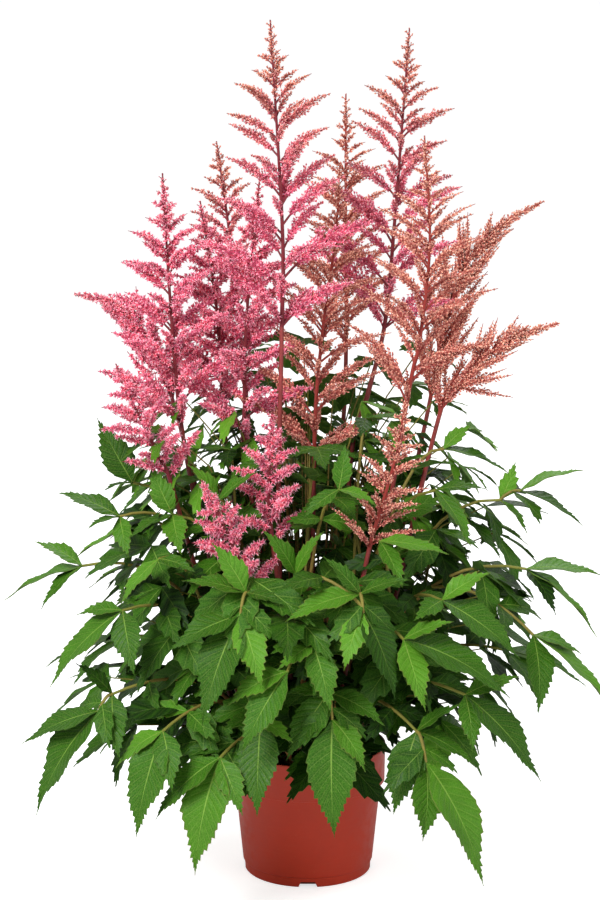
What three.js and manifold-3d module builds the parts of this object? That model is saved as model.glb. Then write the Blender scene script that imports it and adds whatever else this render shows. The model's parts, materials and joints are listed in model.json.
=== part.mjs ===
// Astilbe plant growing in a round nursery pot.
//
// Millimetres, +Z up. The origin is the middle of the pot's underside, on the surface that the pot
// stands on. -Y is the front of the plant and +X is its right-hand side seen from the front.
//
// Each flower stem is one smooth line from its foot in the soil to the plume's apex. The bare stem and
// the plume share that line and meet end to end. Each leaf is a stalk with one or more divisions, and
// each division ends at a hub, from which its toothed leaflets spread. Every leaflet, stalk and side
// branch is tried against the pieces already placed, and is bent a little until it is clear of them.

import * as THREE from "three";
import Module from "manifold-3d";
import { mergeVertices } from "three/addons/utils/BufferGeometryUtils.js";

const wasm = await Module();
wasm.setup();

// ---------------------------------------------------------------- driving dimensions

const CLEARANCE = 0.35; // between neighbouring pieces
const MERGE = 0.04; // details of a join smaller than this are merged away
const OVERLAP = 2; // how far a join or cut runs past the face that it meets
const SHARED_LEAST = 1e-6; // a smaller shared volume is none
const UP = new THREE.Vector3(0, 0, 1);
const RIGHT = new THREE.Vector3(1, 0, 0);

const POT = {
  height: 128,
  rimRadius: 77,
  rimBand: 37, // height of the thickened band under the lip
  rimTaper: 0.8, // how much narrower the band is at its lower edge
  bandLedge: 3, // the inside widens this far above the band's lower edge
  neckRadius: 72.5, // just under the band
  footRadius: 62.7,
  footBand: 9.5,
  footStep: 1.6, // how far the body stands out over the foot band
  footChamfer: 1,
  wall: 1.6,
  floor: 2.4,
  floorCorner: 0.5,
  floorLap: 8, // how far the wall's solid runs in under the floor disc
  segments: 24,
};
const DRAIN = { count: 4, width: 20, topWidth: 14, height: 5.5, depth: 12 };

const SOIL = { level: 111, lump: 2.2, middleRadius: 38, footDepth: 17 };

const STEM = { footRadius: 2.8, topRadius: 2.1, sides: 4, steps: 3 };

const PLUME = {
  axisSides: 4,
  axisSteps: 3,
  axisTipRadius: 1.1,
  spireShare: 0.13, // the top of the plume is one slim spire
  spireSpike: 5.6, // how far its lowest florets stand out
  spireWhorls: 3,
  spireSink: 3, // how far the spire's root is sunk in the axis
  firstGap: 8, // between side branches at the apex
  gapGrowth: 0.125, // and how much it widens per millimetre below the apex
  precession: 37, // degrees that each side branch is turned on past its opposite
  firstAzimuth: 20,
  depthShare: 0.8, // plumes are a little flatter from front to back
  spireWidth: [1.05, 0.2], // of the spire's florets at its foot and apex, as shares of spireSpike
  lastGap: 6, // between the lowest side branch and the foot of the plume
};
const BRANCH = {
  sides: 3,
  whorlReach: [0, 28, 82], // a branch has one whorl more past each of these reaches
  leastWidth: 3,
  widthShare: 0.125, // how far the florets stand out from a branch, over its reach
  coreShare: 0.46, // core radius as a share of the floret whorl's
  coreLeast: 0.8,
  peak: 0.38, // where along the branch it is widest
  rise: 0.65,
  fall: 0.95,
  firstWhorl: 0.12, // where along the branch the first whorl stands
  whorlsShare: 0.84, // the share of the branch that holds whorls
  coreAt: 0.62, // where the core shows between two whorls
  lean: 0.55, // florets point forward by this share of their reach
  shortest: 0.86, // reach is drawn between these shares of the plume's own
  longest: 1.14,
  kneeOut: 0.38, // the bend of the branch, as shares of its tip's place
  kneeUp: 0.72,
};

const STALK = {
  sides: 3,
  steps: 4,
  forkSteps: 2, // of a division that leaves another one's stalk
  footRadius: 2.3,
  hubRadius: 1.7,
  kneeOut: 0.24, // the bend of the first stalk: share of the way out, share of the climb, and lift
  kneeClimb: 0.86,
  kneeLift: 0.3,
  forkLift: 0.12, // the same for a stalk that forks off
  feetApart: 8.5,
  feetRadius: 50, // feet stand on this circle where there is room, or on ones inside it
  feetStep: 3,
};
const LEAFLET = {
  widthShare: 0.43, // blade width over its length
  widest: 0.42, // where along the blade it is widest
  rise: 1.5,
  fall: 1.3,
  outward: 0.5, // blades look this much outwards for each 1 upwards
  arch: 0.07, // crown of the midrib over the blade's length
  fold: 0.16, // edges stand above the midrib by this share of their distance from it
  wave: 1.1, // teeth tips up and notches down
  ribs: [{ at: 0.3, half: 0.92 }, { at: 0.62, half: 0.74 }], // half thickness along the midrib
  smallLength: 80, // a blade shorter than this has one such place
  smallRibs: [{ at: 0.42, half: 0.86 }],
  hub: 1.4, // half thickness where the blades meet
  hubRadius: 2.3,
  firstTooth: 0.15, // the share of the blade before its teeth
  tooth: 1.08,
  toothAt: 0.35, // of the way from one notch to the next
  notch: 0.76,
  notchAt: 0.65,
  notchWave: 0.3,
  toothPitch: 30, // length of edge for one tooth
  fewestTeeth: 2,
  mostTeeth: 5,
  neck: 0.12, // the share of the blade next to its root that may lie against its sisters
};

// ---------------------------------------------------------------- layout

// Flower stems: points that the line passes through, from the foot to the apex.
// plume: how much of the line carries florets, measured down from the apex.
// spread: the reach that side branches tend to; taper: reach gained per millimetre below the apex.
const FLOWERS = [
  { name: "tall_left_of_centre", tint: "rose", plume: 285, spread: 101, taper: 0.60,
    line: [[-20, -36], [-28, -42, 344], [-25, -47, 540], [-24, -50, 640], [-35, -50, 835]] },
  { name: "tall_right", tint: "rose", plume: 290, spread: 94, taper: 0.60,
    line: [[24, 20], [42, 28, 404], [58, 36, 469], [75, 42, 540], [84, 46, 640], [97, 50, 824]] },
  { name: "left_high", tint: "pink", plume: 245, spread: 101, taper: 0.60,
    line: [[-38, -12], [-102, -12, 346], [-122, -14, 454], [-131, -16, 571], [-137, -18, 692]] },
  { name: "left_back", tint: "rose", plume: 205, spread: 79, taper: 0.59,
    line: [[-26, 44], [-52, 80, 350], [-66, 94, 514], [-78, 98, 625], [-90, 101, 713]] },
  { name: "left_inner", tint: "pink", plume: 205, spread: 86, taper: 0.67,
    line: [[-32, 12], [-80, 22, 427], [-84, 26, 489], [-89, 32, 560], [-104, 40, 660]] },
  { name: "centre_left", tint: "pink", plume: 265, spread: 86, taper: 0.60,
    line: [[-10, -12], [-58, -2, 400], [-61, -4, 470], [-59, -6, 550], [-46, -4, 684]] },
  { name: "far_left_leaning", tint: "pink", plume: 165, spread: 79, taper: 0.71,
    line: [[-46, 22], [-123, 46, 427], [-157, 56, 520], [-190, 60, 556], [-229, 62, 567]] },
  { name: "centre_back", tint: "salmon", plume: 255, spread: 74, taper: 0.54,
    line: [[10, 46], [34, 104, 399], [39, 124, 520], [38, 134, 660], [38, 138, 757]] },
  { name: "centre_right", tint: "salmon", plume: 285, spread: 79, taper: 0.56,
    line: [[4, 10], [6, 0, 420], [14, -4, 540], [26, -6, 630], [30, -6, 699]] },
  { name: "right_inner", tint: "salmon", plume: 265, spread: 86, taper: 0.59,
    line: [[36, -16], [92, -46, 470], [104, -52, 534], [113, -56, 629], [107, -58, 730]] },
  { name: "right_leaning_high", tint: "salmon", plume: 235, spread: 82, taper: 0.65,
    line: [[42, 26], [116, 52, 440], [127, 56, 505], [152, 60, 590], [186, 62, 632], [229, 64, 657]] },
  { name: "right_leaning_low", tint: "salmon", plume: 155, spread: 67, taper: 0.67,
    line: [[46, -2], [122, -34, 452], [142, -40, 492], [168, -44, 523], [192, -47, 540], [235, -50, 554]] },
  { name: "front_right_small", tint: "salmon", plume: 150, spread: 53, taper: 0.54,
    line: [[16, -40], [42, -84, 263], [57, -98, 348], [70, -104, 396], [81, -108, 440], [90, -110, 494]] },
  { name: "front_centre_small", tint: "pink", plume: 130, spread: 67, taper: 0.73,
    line: [[-2, -52], [-30, -74, 320], [-37, -78, 390], [-36, -80, 430], [-33, -82, 476]] },
  { name: "front_left_low", tint: "pink", plume: 125, spread: 55, taper: 0.67,
    line: [[-32, -48], [-50, -106, 280], [-60, -120, 330], [-78, -128, 376], [-98, -132, 421]] },
  { name: "left_small", tint: "pink", plume: 125, spread: 70, taper: 0.71,
    line: [[-54, -8], [-124, -54, 380], [-139, -58, 424], [-160, -62, 470], [-180, -64, 518]] },
];

// Leaves, front and sides. A division's stalk starts at the foot, or on the division before it at the
// share `from` of that stalk's length. Each leaflet is given by its tip.
const FRONT_LEAVES = [
  [
    { hub: [-167, -44, 400], tips: [[-201, -30, 460], [-141, -66, 432], [-192, -70, 398]] },
    { hub: [-178, -66, 372], from: 0.72, tips: [[-238, -44, 390], [-206, -92, 366], [-168, -98, 340]] },
  ],
  [{ hub: [-216, -50, 320], tips: [[-262, -38, 341], [-293, -36, 282], [-252, -84, 287]] }],
  [
    { hub: [-173, -118, 294], tips: [[-240, -138, 226], [-216, -110, 288], [-160, -160, 243]] },
    { hub: [-138, -124, 345], from: 0.62, tips: [[-172, -150, 309], [-104, -146, 338]] },
  ],
  [
    { hub: [-183, -128, 216], tips: [[-216, -130, 246], [-174, -168, 165]] },
    { hub: [-195, -136, 202], from: 1, tips: [[-268, -128, 168], [-253, -156, 108]] },
  ],
  [{ hub: [-134, -166, 192], tips: [[-158, -196, 100], [-182, -160, 160], [-124, -204, 146]] }],
  [
    { hub: [-81, -176, 170], tips: [[-140, -186, 114], [-104, -200, 66], [-60, -204, 124]] },
    { hub: [-44, -158, 200], from: 0.66, tips: [[-47, -196, 120], [-14, -182, 186]] },
  ],
  [
    { hub: [-57, -160, 322], tips: [[-88, -158, 368], [-22, -180, 316], [-114, -164, 334]] },
    { hub: [-62, -172, 304], from: 1, tips: [[-127, -188, 274], [-96, -204, 210], [-42, -208, 246]] },
  ],
  [
    { hub: [-19, -186, 255], tips: [[-60, -206, 184], [-74, -192, 224]] },
    { hub: [4, -176, 278], from: 0.8, tips: [[20, -206, 222], [-28, -206, 262]] },
  ],
  [
    { hub: [19, -150, 224], tips: [[-20, -176, 168], [70, -172, 199], [-22, -160, 226]] },
    { hub: [22, -166, 203], from: 1, tips: [[24, -190, 98], [52, -186, 160]] },
  ],
  [
    { hub: [47, -164, 322], tips: [[-20, -184, 294], [14, -162, 356], [92, -176, 338]] },
    { hub: [50, -172, 306], from: 1, tips: [[78, -200, 234], [32, -206, 262]] },
    { hub: [-12, -140, 334], from: 0.74, tips: [[-42, -150, 378], [14, -146, 376]] },
  ],
  [{ hub: [87, -168, 280], tips: [[132, -172, 298], [183, -186, 230], [106, -200, 222]] }],
  [
    { hub: [123, -142, 310], tips: [[168, -140, 336], [194, -160, 260], [96, -176, 300]] },
    { hub: [66, -124, 362], from: 0.66, tips: [[130, -128, 350], [86, -158, 326]] },
  ],
  [
    { hub: [119, -96, 404], tips: [[164, -98, 406], [150, -130, 358]] },
    { hub: [129, -40, 432], from: 0.78, tips: [[192, -30, 406], [156, -22, 452]] },
  ],
  [
    { hub: [184, -34, 381], tips: [[197, -22, 416], [208, -58, 354]] },
    { hub: [203, -34, 390], from: 1, tips: [[264, -30, 409], [262, -44, 358]] },
  ],
  [
    { hub: [207, -66, 321], tips: [[281, -58, 312], [274, -80, 258], [228, -104, 282]] },
    { hub: [212, -98, 265], from: 0.7, tips: [[287, -106, 190], [214, -138, 200], [252, -84, 232]] },
  ],
  [{ hub: [145, -150, 222], tips: [[214, -170, 146], [196, -138, 236], [150, -184, 178]] }],
  [
    { hub: [100, -160, 190], tips: [[78, -186, 118], [143, -166, 214], [152, -176, 162]] },
    { hub: [108, -178, 166], from: 1, tips: [[160, -206, 58], [112, -200, 96]] },
  ],
  [
    { hub: [-128, -66, 374], tips: [[-166, -96, 352], [-118, -112, 346], [-148, -48, 418]] },
    { hub: [-84, -88, 392], from: 0.7, tips: [[-72, -126, 356], [-112, -96, 428], [-48, -92, 420]] },
  ],
  [{ hub: [28, -122, 410], tips: [[-4, -140, 388], [62, -136, 398], [34, -116, 452]] }],
];

// Leaves behind, by rule: pairs of divisions fanned round the back of the plant.
const BACK = {
  count: 7,
  firstAzimuth: 8,
  lastAzimuth: 172,
  low: { radius: 192, height: 222, turn: -7 },
  high: { radius: 146, height: 352, turn: 8 },
  stagger: 34, // every other leaf is this much higher
  fork: 0.6,
  fan: {
    length: 92,
    sideShare: 0.86, // side leaflets against the end one
    sideAngle: 66,
    droop: 0.42, // fall of a tip over its length
  },
};

// Inner divisions, by rule: each leaf that climbs high enough carries one more, which forks off its first
// stalk and stands back in, over the leaf's highest hub, among the flower stems.
const INNER = {
  leastHeight: 340, // of the leaf's highest hub
  from: 0.42,
  out: 0.44, // how far out it stands, over that hub's own distance
  climb: 26, // and how much higher it stands
  turn: -4, // degrees that it is turned from that hub
  fan: { length: 50, sideShare: 0.86, sideAngle: 78, droop: 0.25 },
};

const COLOURS = {
  pot: 0x96322a,
  soil: 0x3a2a1e,
  stem: 0x7a2c2e,
  leaf: 0x467d3c,
  pink: 0xdd6f8e,
  rose: 0xc45a6c,
  salmon: 0xb8685a,
};

// ---------------------------------------------------------------- solids

/** A point or direction written as a plain list. */
function vec(list) {
  return new THREE.Vector3(...list);
}

/** A geometry from points and triangles that index them. */
function indexedGeometry(points, triangles) {
  const geometry = new THREE.BufferGeometry().setFromPoints(points);
  geometry.setIndex(triangles);
  return geometry;
}

/** A closed geometry as a solid that can be joined and cut. */
function toSolid(geometry) {
  const bare = geometry.clone();
  bare.deleteAttribute("normal");
  bare.deleteAttribute("uv");
  const merged = mergeVertices(bare, 1e-4);
  const index = merged.index.array;
  const kept = [];
  for (let i = 0; i < index.length; i += 3) {
    const [a, b, c] = [index[i], index[i + 1], index[i + 2]];
    if (a !== b && b !== c && c !== a) kept.push(a, b, c);
  }
  return new wasm.Manifold(
    new wasm.Mesh({
      numProp: 3,
      vertProperties: new Float32Array(merged.attributes.position.array),
      triVerts: new Uint32Array(kept),
    })
  );
}

/** A solid as a geometry for a mesh. */
function toGeometry(solid) {
  const mesh = solid.getMesh();
  const geometry = new THREE.BufferGeometry();
  geometry.setAttribute("position", new THREE.BufferAttribute(mesh.vertProperties, 3));
  geometry.setIndex(new THREE.BufferAttribute(mesh.triVerts, 1));
  geometry.computeVertexNormals();
  return geometry;
}

/** Joins solids into one body, and drops any loose scrap of the join. */
function fuse(name, solids) {
  const joined = wasm.Manifold.union(solids).simplify(MERGE);
  const bodies = joined.decompose();
  bodies.sort((a, b) => b.volume() - a.volume());
  if (bodies.length > 1 && bodies[1].volume() > 1) notes.push(`${name} has a loose piece`);
  return bodies[0];
}

/** A ring of points round a centre, square to a direction. */
function ring(centre, along, side, radius, sides, turn = 0) {
  const across = along.clone().cross(side).normalize();
  const out = across.clone().cross(along).normalize();
  return Array.from({ length: sides }, (_, i) => {
    const angle = turn + (2 * Math.PI * i) / sides;
    return centre
      .clone()
      .addScaledVector(out, radius * Math.cos(angle))
      .addScaledVector(across, radius * Math.sin(angle));
  });
}

/** The solid through a stack of rings. An end is flat, or a point where its ring is a single one. */
function loft(rings) {
  const sides = Math.max(...rings.map((points) => points.length));
  const triangles = [];
  let low = 0;
  for (let i = 0; i + 1 < rings.length; i++) {
    const high = low + rings[i].length;
    for (let j = 0; j < sides; j++) {
      const k = (j + 1) % sides;
      if (rings[i + 1].length === 1) triangles.push(low + j, low + k, high);
      else if (rings[i].length === 1) triangles.push(low, high + k, high + j);
      else triangles.push(low + j, low + k, high + k, low + j, high + k, high + j);
    }
    low = high;
  }
  for (let j = 1; j + 1 < sides; j++) {
    if (rings[0].length > 1) triangles.push(0, j + 1, j);
    if (rings.at(-1).length > 1) triangles.push(low, low + j, low + j + 1);
  }
  return toSolid(indexedGeometry(rings.flat(), triangles));
}

/** A point on the straight stretches between a curve's evenly spaced points, as a tube has them. */
function onChords(curve, { from = 0, to = 1, steps }, at) {
  const place = ((at - from) / (to - from)) * steps;
  const index = THREE.MathUtils.clamp(Math.floor(place), 0, steps - 1);
  const ends = [index, index + 1].map((i) => curve.getPointAt(from + ((to - from) * i) / steps));
  return ends[0].lerp(ends[1], place - index);
}

/** A tapered tube along part of a curve. */
function tube(curve, { from = 0, to = 1, steps, sides, side, startRadius, endRadius }) {
  const rings = [];
  for (let i = 0; i <= steps; i++) {
    const share = i / steps;
    const at = from + (to - from) * share;
    const radius = startRadius + (endRadius - startRadius) * share;
    rings.push(ring(curve.getPointAt(at), curve.getTangentAt(at), side, radius, sides));
  }
  return loft(rings);
}

// ---------------------------------------------------------------- keeping pieces apart

const placed = [];

function boxesMeet(a, b) {
  for (let axis = 0; axis < 3; axis++) {
    if (a.max[axis] < b.min[axis] || b.max[axis] < a.min[axis]) return false;
  }
  return true;
}

/** How much of a solid lies inside the pieces placed so far, apart from its own family's. */
function overlap(solid, family) {
  const box = solid.boundingBox();
  let volume = 0;
  for (const other of placed) {
    if (family.has(other.owner) || !boxesMeet(box, other.box)) continue;
    const shared = solid.intersect(other.solid);
    volume += shared.volume();
    shared.delete();
  }
  return volume;
}

function keep(solid, owner) {
  placed.push({ solid, owner, box: solid.boundingBox() });
  return solid;
}

/** How much of a solid lies inside any of a list of others. */
function overlapWith(solid, others) {
  let volume = 0;
  for (const other of others) {
    const shared = solid.intersect(other);
    volume += shared.volume();
    shared.delete();
  }
  return volume;
}

/**
 * The first of the choices whose fattened solid is clear, or else the one that overlaps least.
 * The part of it beyond its root is also kept clear of its sisters on the same stalk.
 */
function placeClear(choices, build, owner, family, sisters = [], beyondRoot = null) {
  let best = null;
  for (const choice of choices) {
    const fat = build(choice, CLEARANCE);
    let volume = overlap(fat, family);
    fat.delete();
    if (sisters.length) {
      const outer = beyondRoot(choice, CLEARANCE);
      volume += overlapWith(outer, sisters);
      outer.delete();
    }
    if (best === null || volume < best.volume) best = { choice, volume };
    if (volume < SHARED_LEAST) break;
  }
  keep(build(best.choice, 0), owner);
  if (best.volume > SHARED_LEAST) notes.push(`${owner} overlaps by ${best.volume.toFixed(2)}`);
  return best.choice;
}

const notes = [];

/** Evenly spread draws from 0 to 1, the same ones each time for one seed. */
function seededDraws(seed) {
  let state = seed >>> 0;
  return () => {
    state = (state + 0x6d2b79f5) >>> 0;
    let mixed = Math.imul(state ^ (state >>> 15), state | 1);
    mixed ^= mixed + Math.imul(mixed ^ (mixed >>> 7), mixed | 61);
    return ((mixed ^ (mixed >>> 14)) >>> 0) / 4294967296;
  };
}

// ---------------------------------------------------------------- pot and soil

/** A round solid whose section is a closed outline of [radius, height] points. */
function turned(outline) {
  const points = [...outline, outline[0]].map(([radius, height]) => new THREE.Vector2(radius, height));
  return toSolid(new THREE.LatheGeometry(points, POT.segments).rotateX(Math.PI / 2));
}

/** A flat disc whose corners line up with those of a turned solid. */
function disc(radius, bottom, top) {
  const corners = Array.from({ length: POT.segments }, (_, i) => {
    const angle = (2 * Math.PI * i) / POT.segments;
    return new THREE.Vector2(radius * Math.sin(angle), -radius * Math.cos(angle));
  });
  const shape = new THREE.Shape(corners);
  const geometry = new THREE.ExtrudeGeometry(shape, { depth: top - bottom, bevelEnabled: false });
  return toSolid(geometry.translate(0, 0, bottom));
}

/** Radius of the pot's inside at a height under the band. */
function innerRadius(height) {
  const share = (height - POT.footBand) / (POT.height - POT.rimBand - POT.footBand);
  const low = POT.footRadius + POT.footStep;
  return low + (POT.neckRadius - low) * share - POT.wall;
}

const BAND_FOOT = POT.height - POT.rimBand;

/** The pot's inside from the floor up, as [radius, height] points. */
const INSIDE = [
  [POT.footRadius - POT.wall - POT.floorCorner, POT.floor],
  [innerRadius(BAND_FOOT), BAND_FOOT - POT.wall],
  [POT.rimRadius - POT.rimTaper - POT.wall, BAND_FOOT + POT.bandLedge],
];

function buildPot() {
  const { height, rimRadius, rimTaper, neckRadius, footRadius, footBand, footStep, floor } = POT;
  const shell = turned([
    [footRadius - POT.floorLap, 0],
    [footRadius - POT.footChamfer, 0],
    [footRadius, footBand],
    [footRadius + footStep, footBand + footStep / 2],
    [neckRadius, BAND_FOOT],
    [rimRadius - rimTaper, BAND_FOOT + rimTaper],
    [rimRadius, height],
    [rimRadius - POT.wall, height],
    ...[...INSIDE].reverse(),
    [footRadius - POT.floorLap, floor],
  ]);
  const base = disc(footRadius - POT.floorLap + OVERLAP, 0, floor);
  const halfWidth = DRAIN.width / 2;
  const slot = new THREE.Shape([
    new THREE.Vector2(-halfWidth, -OVERLAP),
    new THREE.Vector2(halfWidth, -OVERLAP),
    new THREE.Vector2(DRAIN.topWidth / 2, DRAIN.height),
    new THREE.Vector2(-DRAIN.topWidth / 2, DRAIN.height),
  ]);
  let pot = shell.add(base);
  for (let i = 0; i < DRAIN.count; i++) {
    const cut = new THREE.ExtrudeGeometry(slot, { depth: DRAIN.depth, bevelEnabled: false });
    cut.rotateX(Math.PI / 2);
    cut.translate(0, DRAIN.depth - footRadius - OVERLAP, 0);
    cut.rotateZ((2 * Math.PI * i) / DRAIN.count);
    pot = pot.subtract(toSolid(cut));
  }
  return pot;
}

/** Height of the soil's lumpy top. */
function soilTop(x, y) {
  const lump = Math.sin(x * 0.11 + 1.3) * Math.cos(y * 0.13 - 0.6) + 0.5 * Math.sin((x + y) * 0.19);
  return SOIL.level + SOIL.lump * lump;
}

/** The root ball, with a plain hole for each foot that stands in it. */
function buildSoil(feet) {
  const [floorEdge, ...walls] = INSIDE;
  const outline = [[floorEdge[0], POT.floor + CLEARANCE], ...walls, [walls.at(-1)[0], SOIL.level]];
  const rings = outline.map(([radius, height]) => circle(radius - CLEARANCE, () => height));
  rings.push(circle(SOIL.middleRadius, soilTop));
  rings.push([new THREE.Vector3(0, 0, soilTop(0, 0))]);
  const body = loft(rings);
  return body.subtract(wasm.Manifold.union(feet));
}

function circle(radius, heightAt) {
  return Array.from({ length: POT.segments }, (_, i) => {
    const angle = (2 * Math.PI * i) / POT.segments;
    const [x, y] = [radius * Math.sin(angle), -radius * Math.cos(angle)];
    return new THREE.Vector3(x, y, heightAt(x, y));
  });
}

// ---------------------------------------------------------------- flowers

const FOOT_LEVEL = SOIL.level - SOIL.footDepth;

/** The line of a flower stem, from its foot in the soil to the apex. */
function stemLine(flower) {
  const [foot, ...rest] = flower.line;
  return new THREE.CatmullRomCurve3([vec([...foot, FOOT_LEVEL]), ...rest.map(vec)], false, "catmullrom", 0.5);
}

/** Width of a side branch, as a share of its widest, at a share of its length. */
function branchBell(share) {
  const { peak, rise, fall } = BRANCH;
  return Math.pow(share / peak, rise) * Math.pow((1 - share) / (1 - peak), fall);
}

/**
 * A side branch or spire: a slim core with whorls of pointed florets that stand out and forward.
 * Successive whorls are turned so that the florets of one lie between those of the last.
 */
function spikyArm({ curve, side, reach, whorls, bell, grow }) {
  const rings = [[curve.getPoint(0)]];
  const step = Math.PI / BRANCH.sides / 2;
  const pitch = BRANCH.whorlsShare / whorls;
  for (let i = 0; i < whorls; i++) {
    const share = BRANCH.firstWhorl + pitch * i;
    const spread = reach * bell(share);
    const along = curve.getTangent(share);
    const centre = curve.getPoint(share).addScaledVector(along, BRANCH.lean * spread);
    rings.push(ring(centre, along, side, spread + grow, BRANCH.sides, (2 * i + 1) * step));
    const next = share + pitch * BRANCH.coreAt;
    const core = Math.max(BRANCH.coreShare * reach * bell(next), BRANCH.coreLeast) + grow;
    const turn = (2 * i + 2) * step;
    rings.push(ring(curve.getPoint(next), curve.getTangent(next), side, core, BRANCH.sides, turn));
  }
  rings.push([curve.getPoint(1)]);
  return loft(rings);
}

/** The stretch of a flower's line that is the plume's axis, between the bare stem and the spire. */
function axisStretch(flower) {
  const spire = flower.plume * PLUME.spireShare;
  return {
    from: 1 - (flower.plume - CLEARANCE) / flower.length,
    to: 1 - spire / flower.length,
    steps: PLUME.axisSteps,
  };
}

/** Where the side branches leave a plume, from the top down. */
function branchRoots(flower) {
  const roots = [];
  let below = flower.plume * PLUME.spireShare + PLUME.firstGap / 2;
  while (below < flower.plume - PLUME.lastGap) {
    roots.push(below);
    below += PLUME.firstGap + PLUME.gapGrowth * below;
  }
  return roots;
}

/** One side branch of a plume: it leaves steeply and arches out. */
function sideBranch(flower, below, index, draw) {
  const at = 1 - below / flower.length;
  const root = onChords(flower.curve, axisStretch(flower), at);
  const along = flower.curve.getTangentAt(at);
  const side = along.clone().cross(new THREE.Vector3(0, 1, 0)).normalize();
  const depth = side.clone().cross(along).normalize();
  const drawn = THREE.MathUtils.lerp(BRANCH.shortest, BRANCH.longest, draw);
  const reach = flower.spread * (1 - Math.exp((-flower.taper * below) / flower.spread)) * drawn;
  const azimuth = THREE.MathUtils.degToRad(index * (180 + PLUME.precession) + PLUME.firstAzimuth);
  const width = BRANCH.leastWidth + BRANCH.widthShare * reach;
  return (bend, grow) => {
    const turned = azimuth + THREE.MathUtils.degToRad(bend.turn);
    const out = side
      .clone()
      .multiplyScalar(Math.cos(turned))
      .addScaledVector(depth, PLUME.depthShare * Math.sin(turned));
    const far = reach * bend.share;
    const tip = root.clone().addScaledVector(out, far).addScaledVector(along, far * bend.lift);
    const knee = root
      .clone()
      .addScaledVector(out, far * BRANCH.kneeOut)
      .addScaledVector(along, far * bend.lift * BRANCH.kneeUp);
    const curve = new THREE.QuadraticBezierCurve3(root, knee, tip);
    const whorls = BRANCH.whorlReach.filter((least) => far > least).length;
    return spikyArm({
      curve, side: along, reach: width, whorls, bell: branchBell, grow,
    });
  };
}

const BRANCH_BENDS = [];
for (const share of [1, 0.85, 0.7]) {
  for (const turn of [0, 14, -14, 28, -28, 42, -42, 58, -58, 75, -75]) {
    for (const lift of [0.64, 0.86, 0.46]) BRANCH_BENDS.push({ turn, lift, share });
  }
}

/** The axis and the spire of a plume, which its side branches grow from. */
function plumeCore(flower, grow) {
  const { curve, length } = flower;
  const stretch = axisStretch(flower);
  const axis = tube(curve, {
    ...stretch, sides: PLUME.axisSides, side: RIGHT,
    startRadius: STEM.topRadius + grow, endRadius: PLUME.axisTipRadius + grow,
  });
  const low = onChords(curve, stretch, stretch.to - PLUME.spireSink / length);
  const middle = curve.getPointAt((1 + stretch.to) / 2);
  const spire = spikyArm({
    curve: new THREE.QuadraticBezierCurve3(low, middle, curve.getPointAt(1)),
    side: RIGHT, reach: PLUME.spireSpike, whorls: PLUME.spireWhorls,
    bell: (share) => THREE.MathUtils.lerp(...PLUME.spireWidth, share), grow,
  });
  return axis.add(spire);
}

function bareStem({ curve, plume, length }, grow) {
  return tube(curve, {
    to: 1 - plume / length, steps: STEM.steps, sides: STEM.sides, side: RIGHT,
    startRadius: STEM.footRadius + grow, endRadius: STEM.topRadius + grow,
  });
}

// ---------------------------------------------------------------- leaves

/** Half width of a blade as a share of its greatest, at a share of its length. */
function bladeProfile(share) {
  const { widest, rise, fall } = LEAFLET;
  return Math.pow(share / widest, rise) * Math.pow((1 - share) / (1 - widest), fall);
}

/** Triangles between a midrib and one edge of a blade; both are lists of { index, share }. */
function bladeStrip(rib, edge, flipped) {
  const triangles = [];
  let [i, j] = [0, 0];
  while (i + 1 < rib.length || j + 1 < edge.length) {
    const ribNext = i + 1 < rib.length ? rib[i].share + rib[i + 1].share : Infinity;
    const edgeNext = j + 1 < edge.length ? edge[j].share + edge[j + 1].share : Infinity;
    const onRib = edgeNext > ribNext;
    const corner = [rib[i].index, onRib ? rib[i + 1].index : edge[j + 1].index, edge[j].index];
    if (onRib) i += 1;
    else j += 1;
    if (new Set(corner).size === 3) triangles.push(...(flipped ? corner.reverse() : corner));
  }
  return triangles;
}

/** The direction that a blade's upper face looks: up and out from the plant, square to its length. */
function bladeNormal(base, tip) {
  const along = tip.clone().sub(base).normalize();
  const outward = new THREE.Vector3(tip.x, tip.y, 0).normalize();
  const facing = UP.clone().addScaledVector(outward, LEAFLET.outward);
  return facing.addScaledVector(along, -facing.dot(along)).normalize();
}

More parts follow.
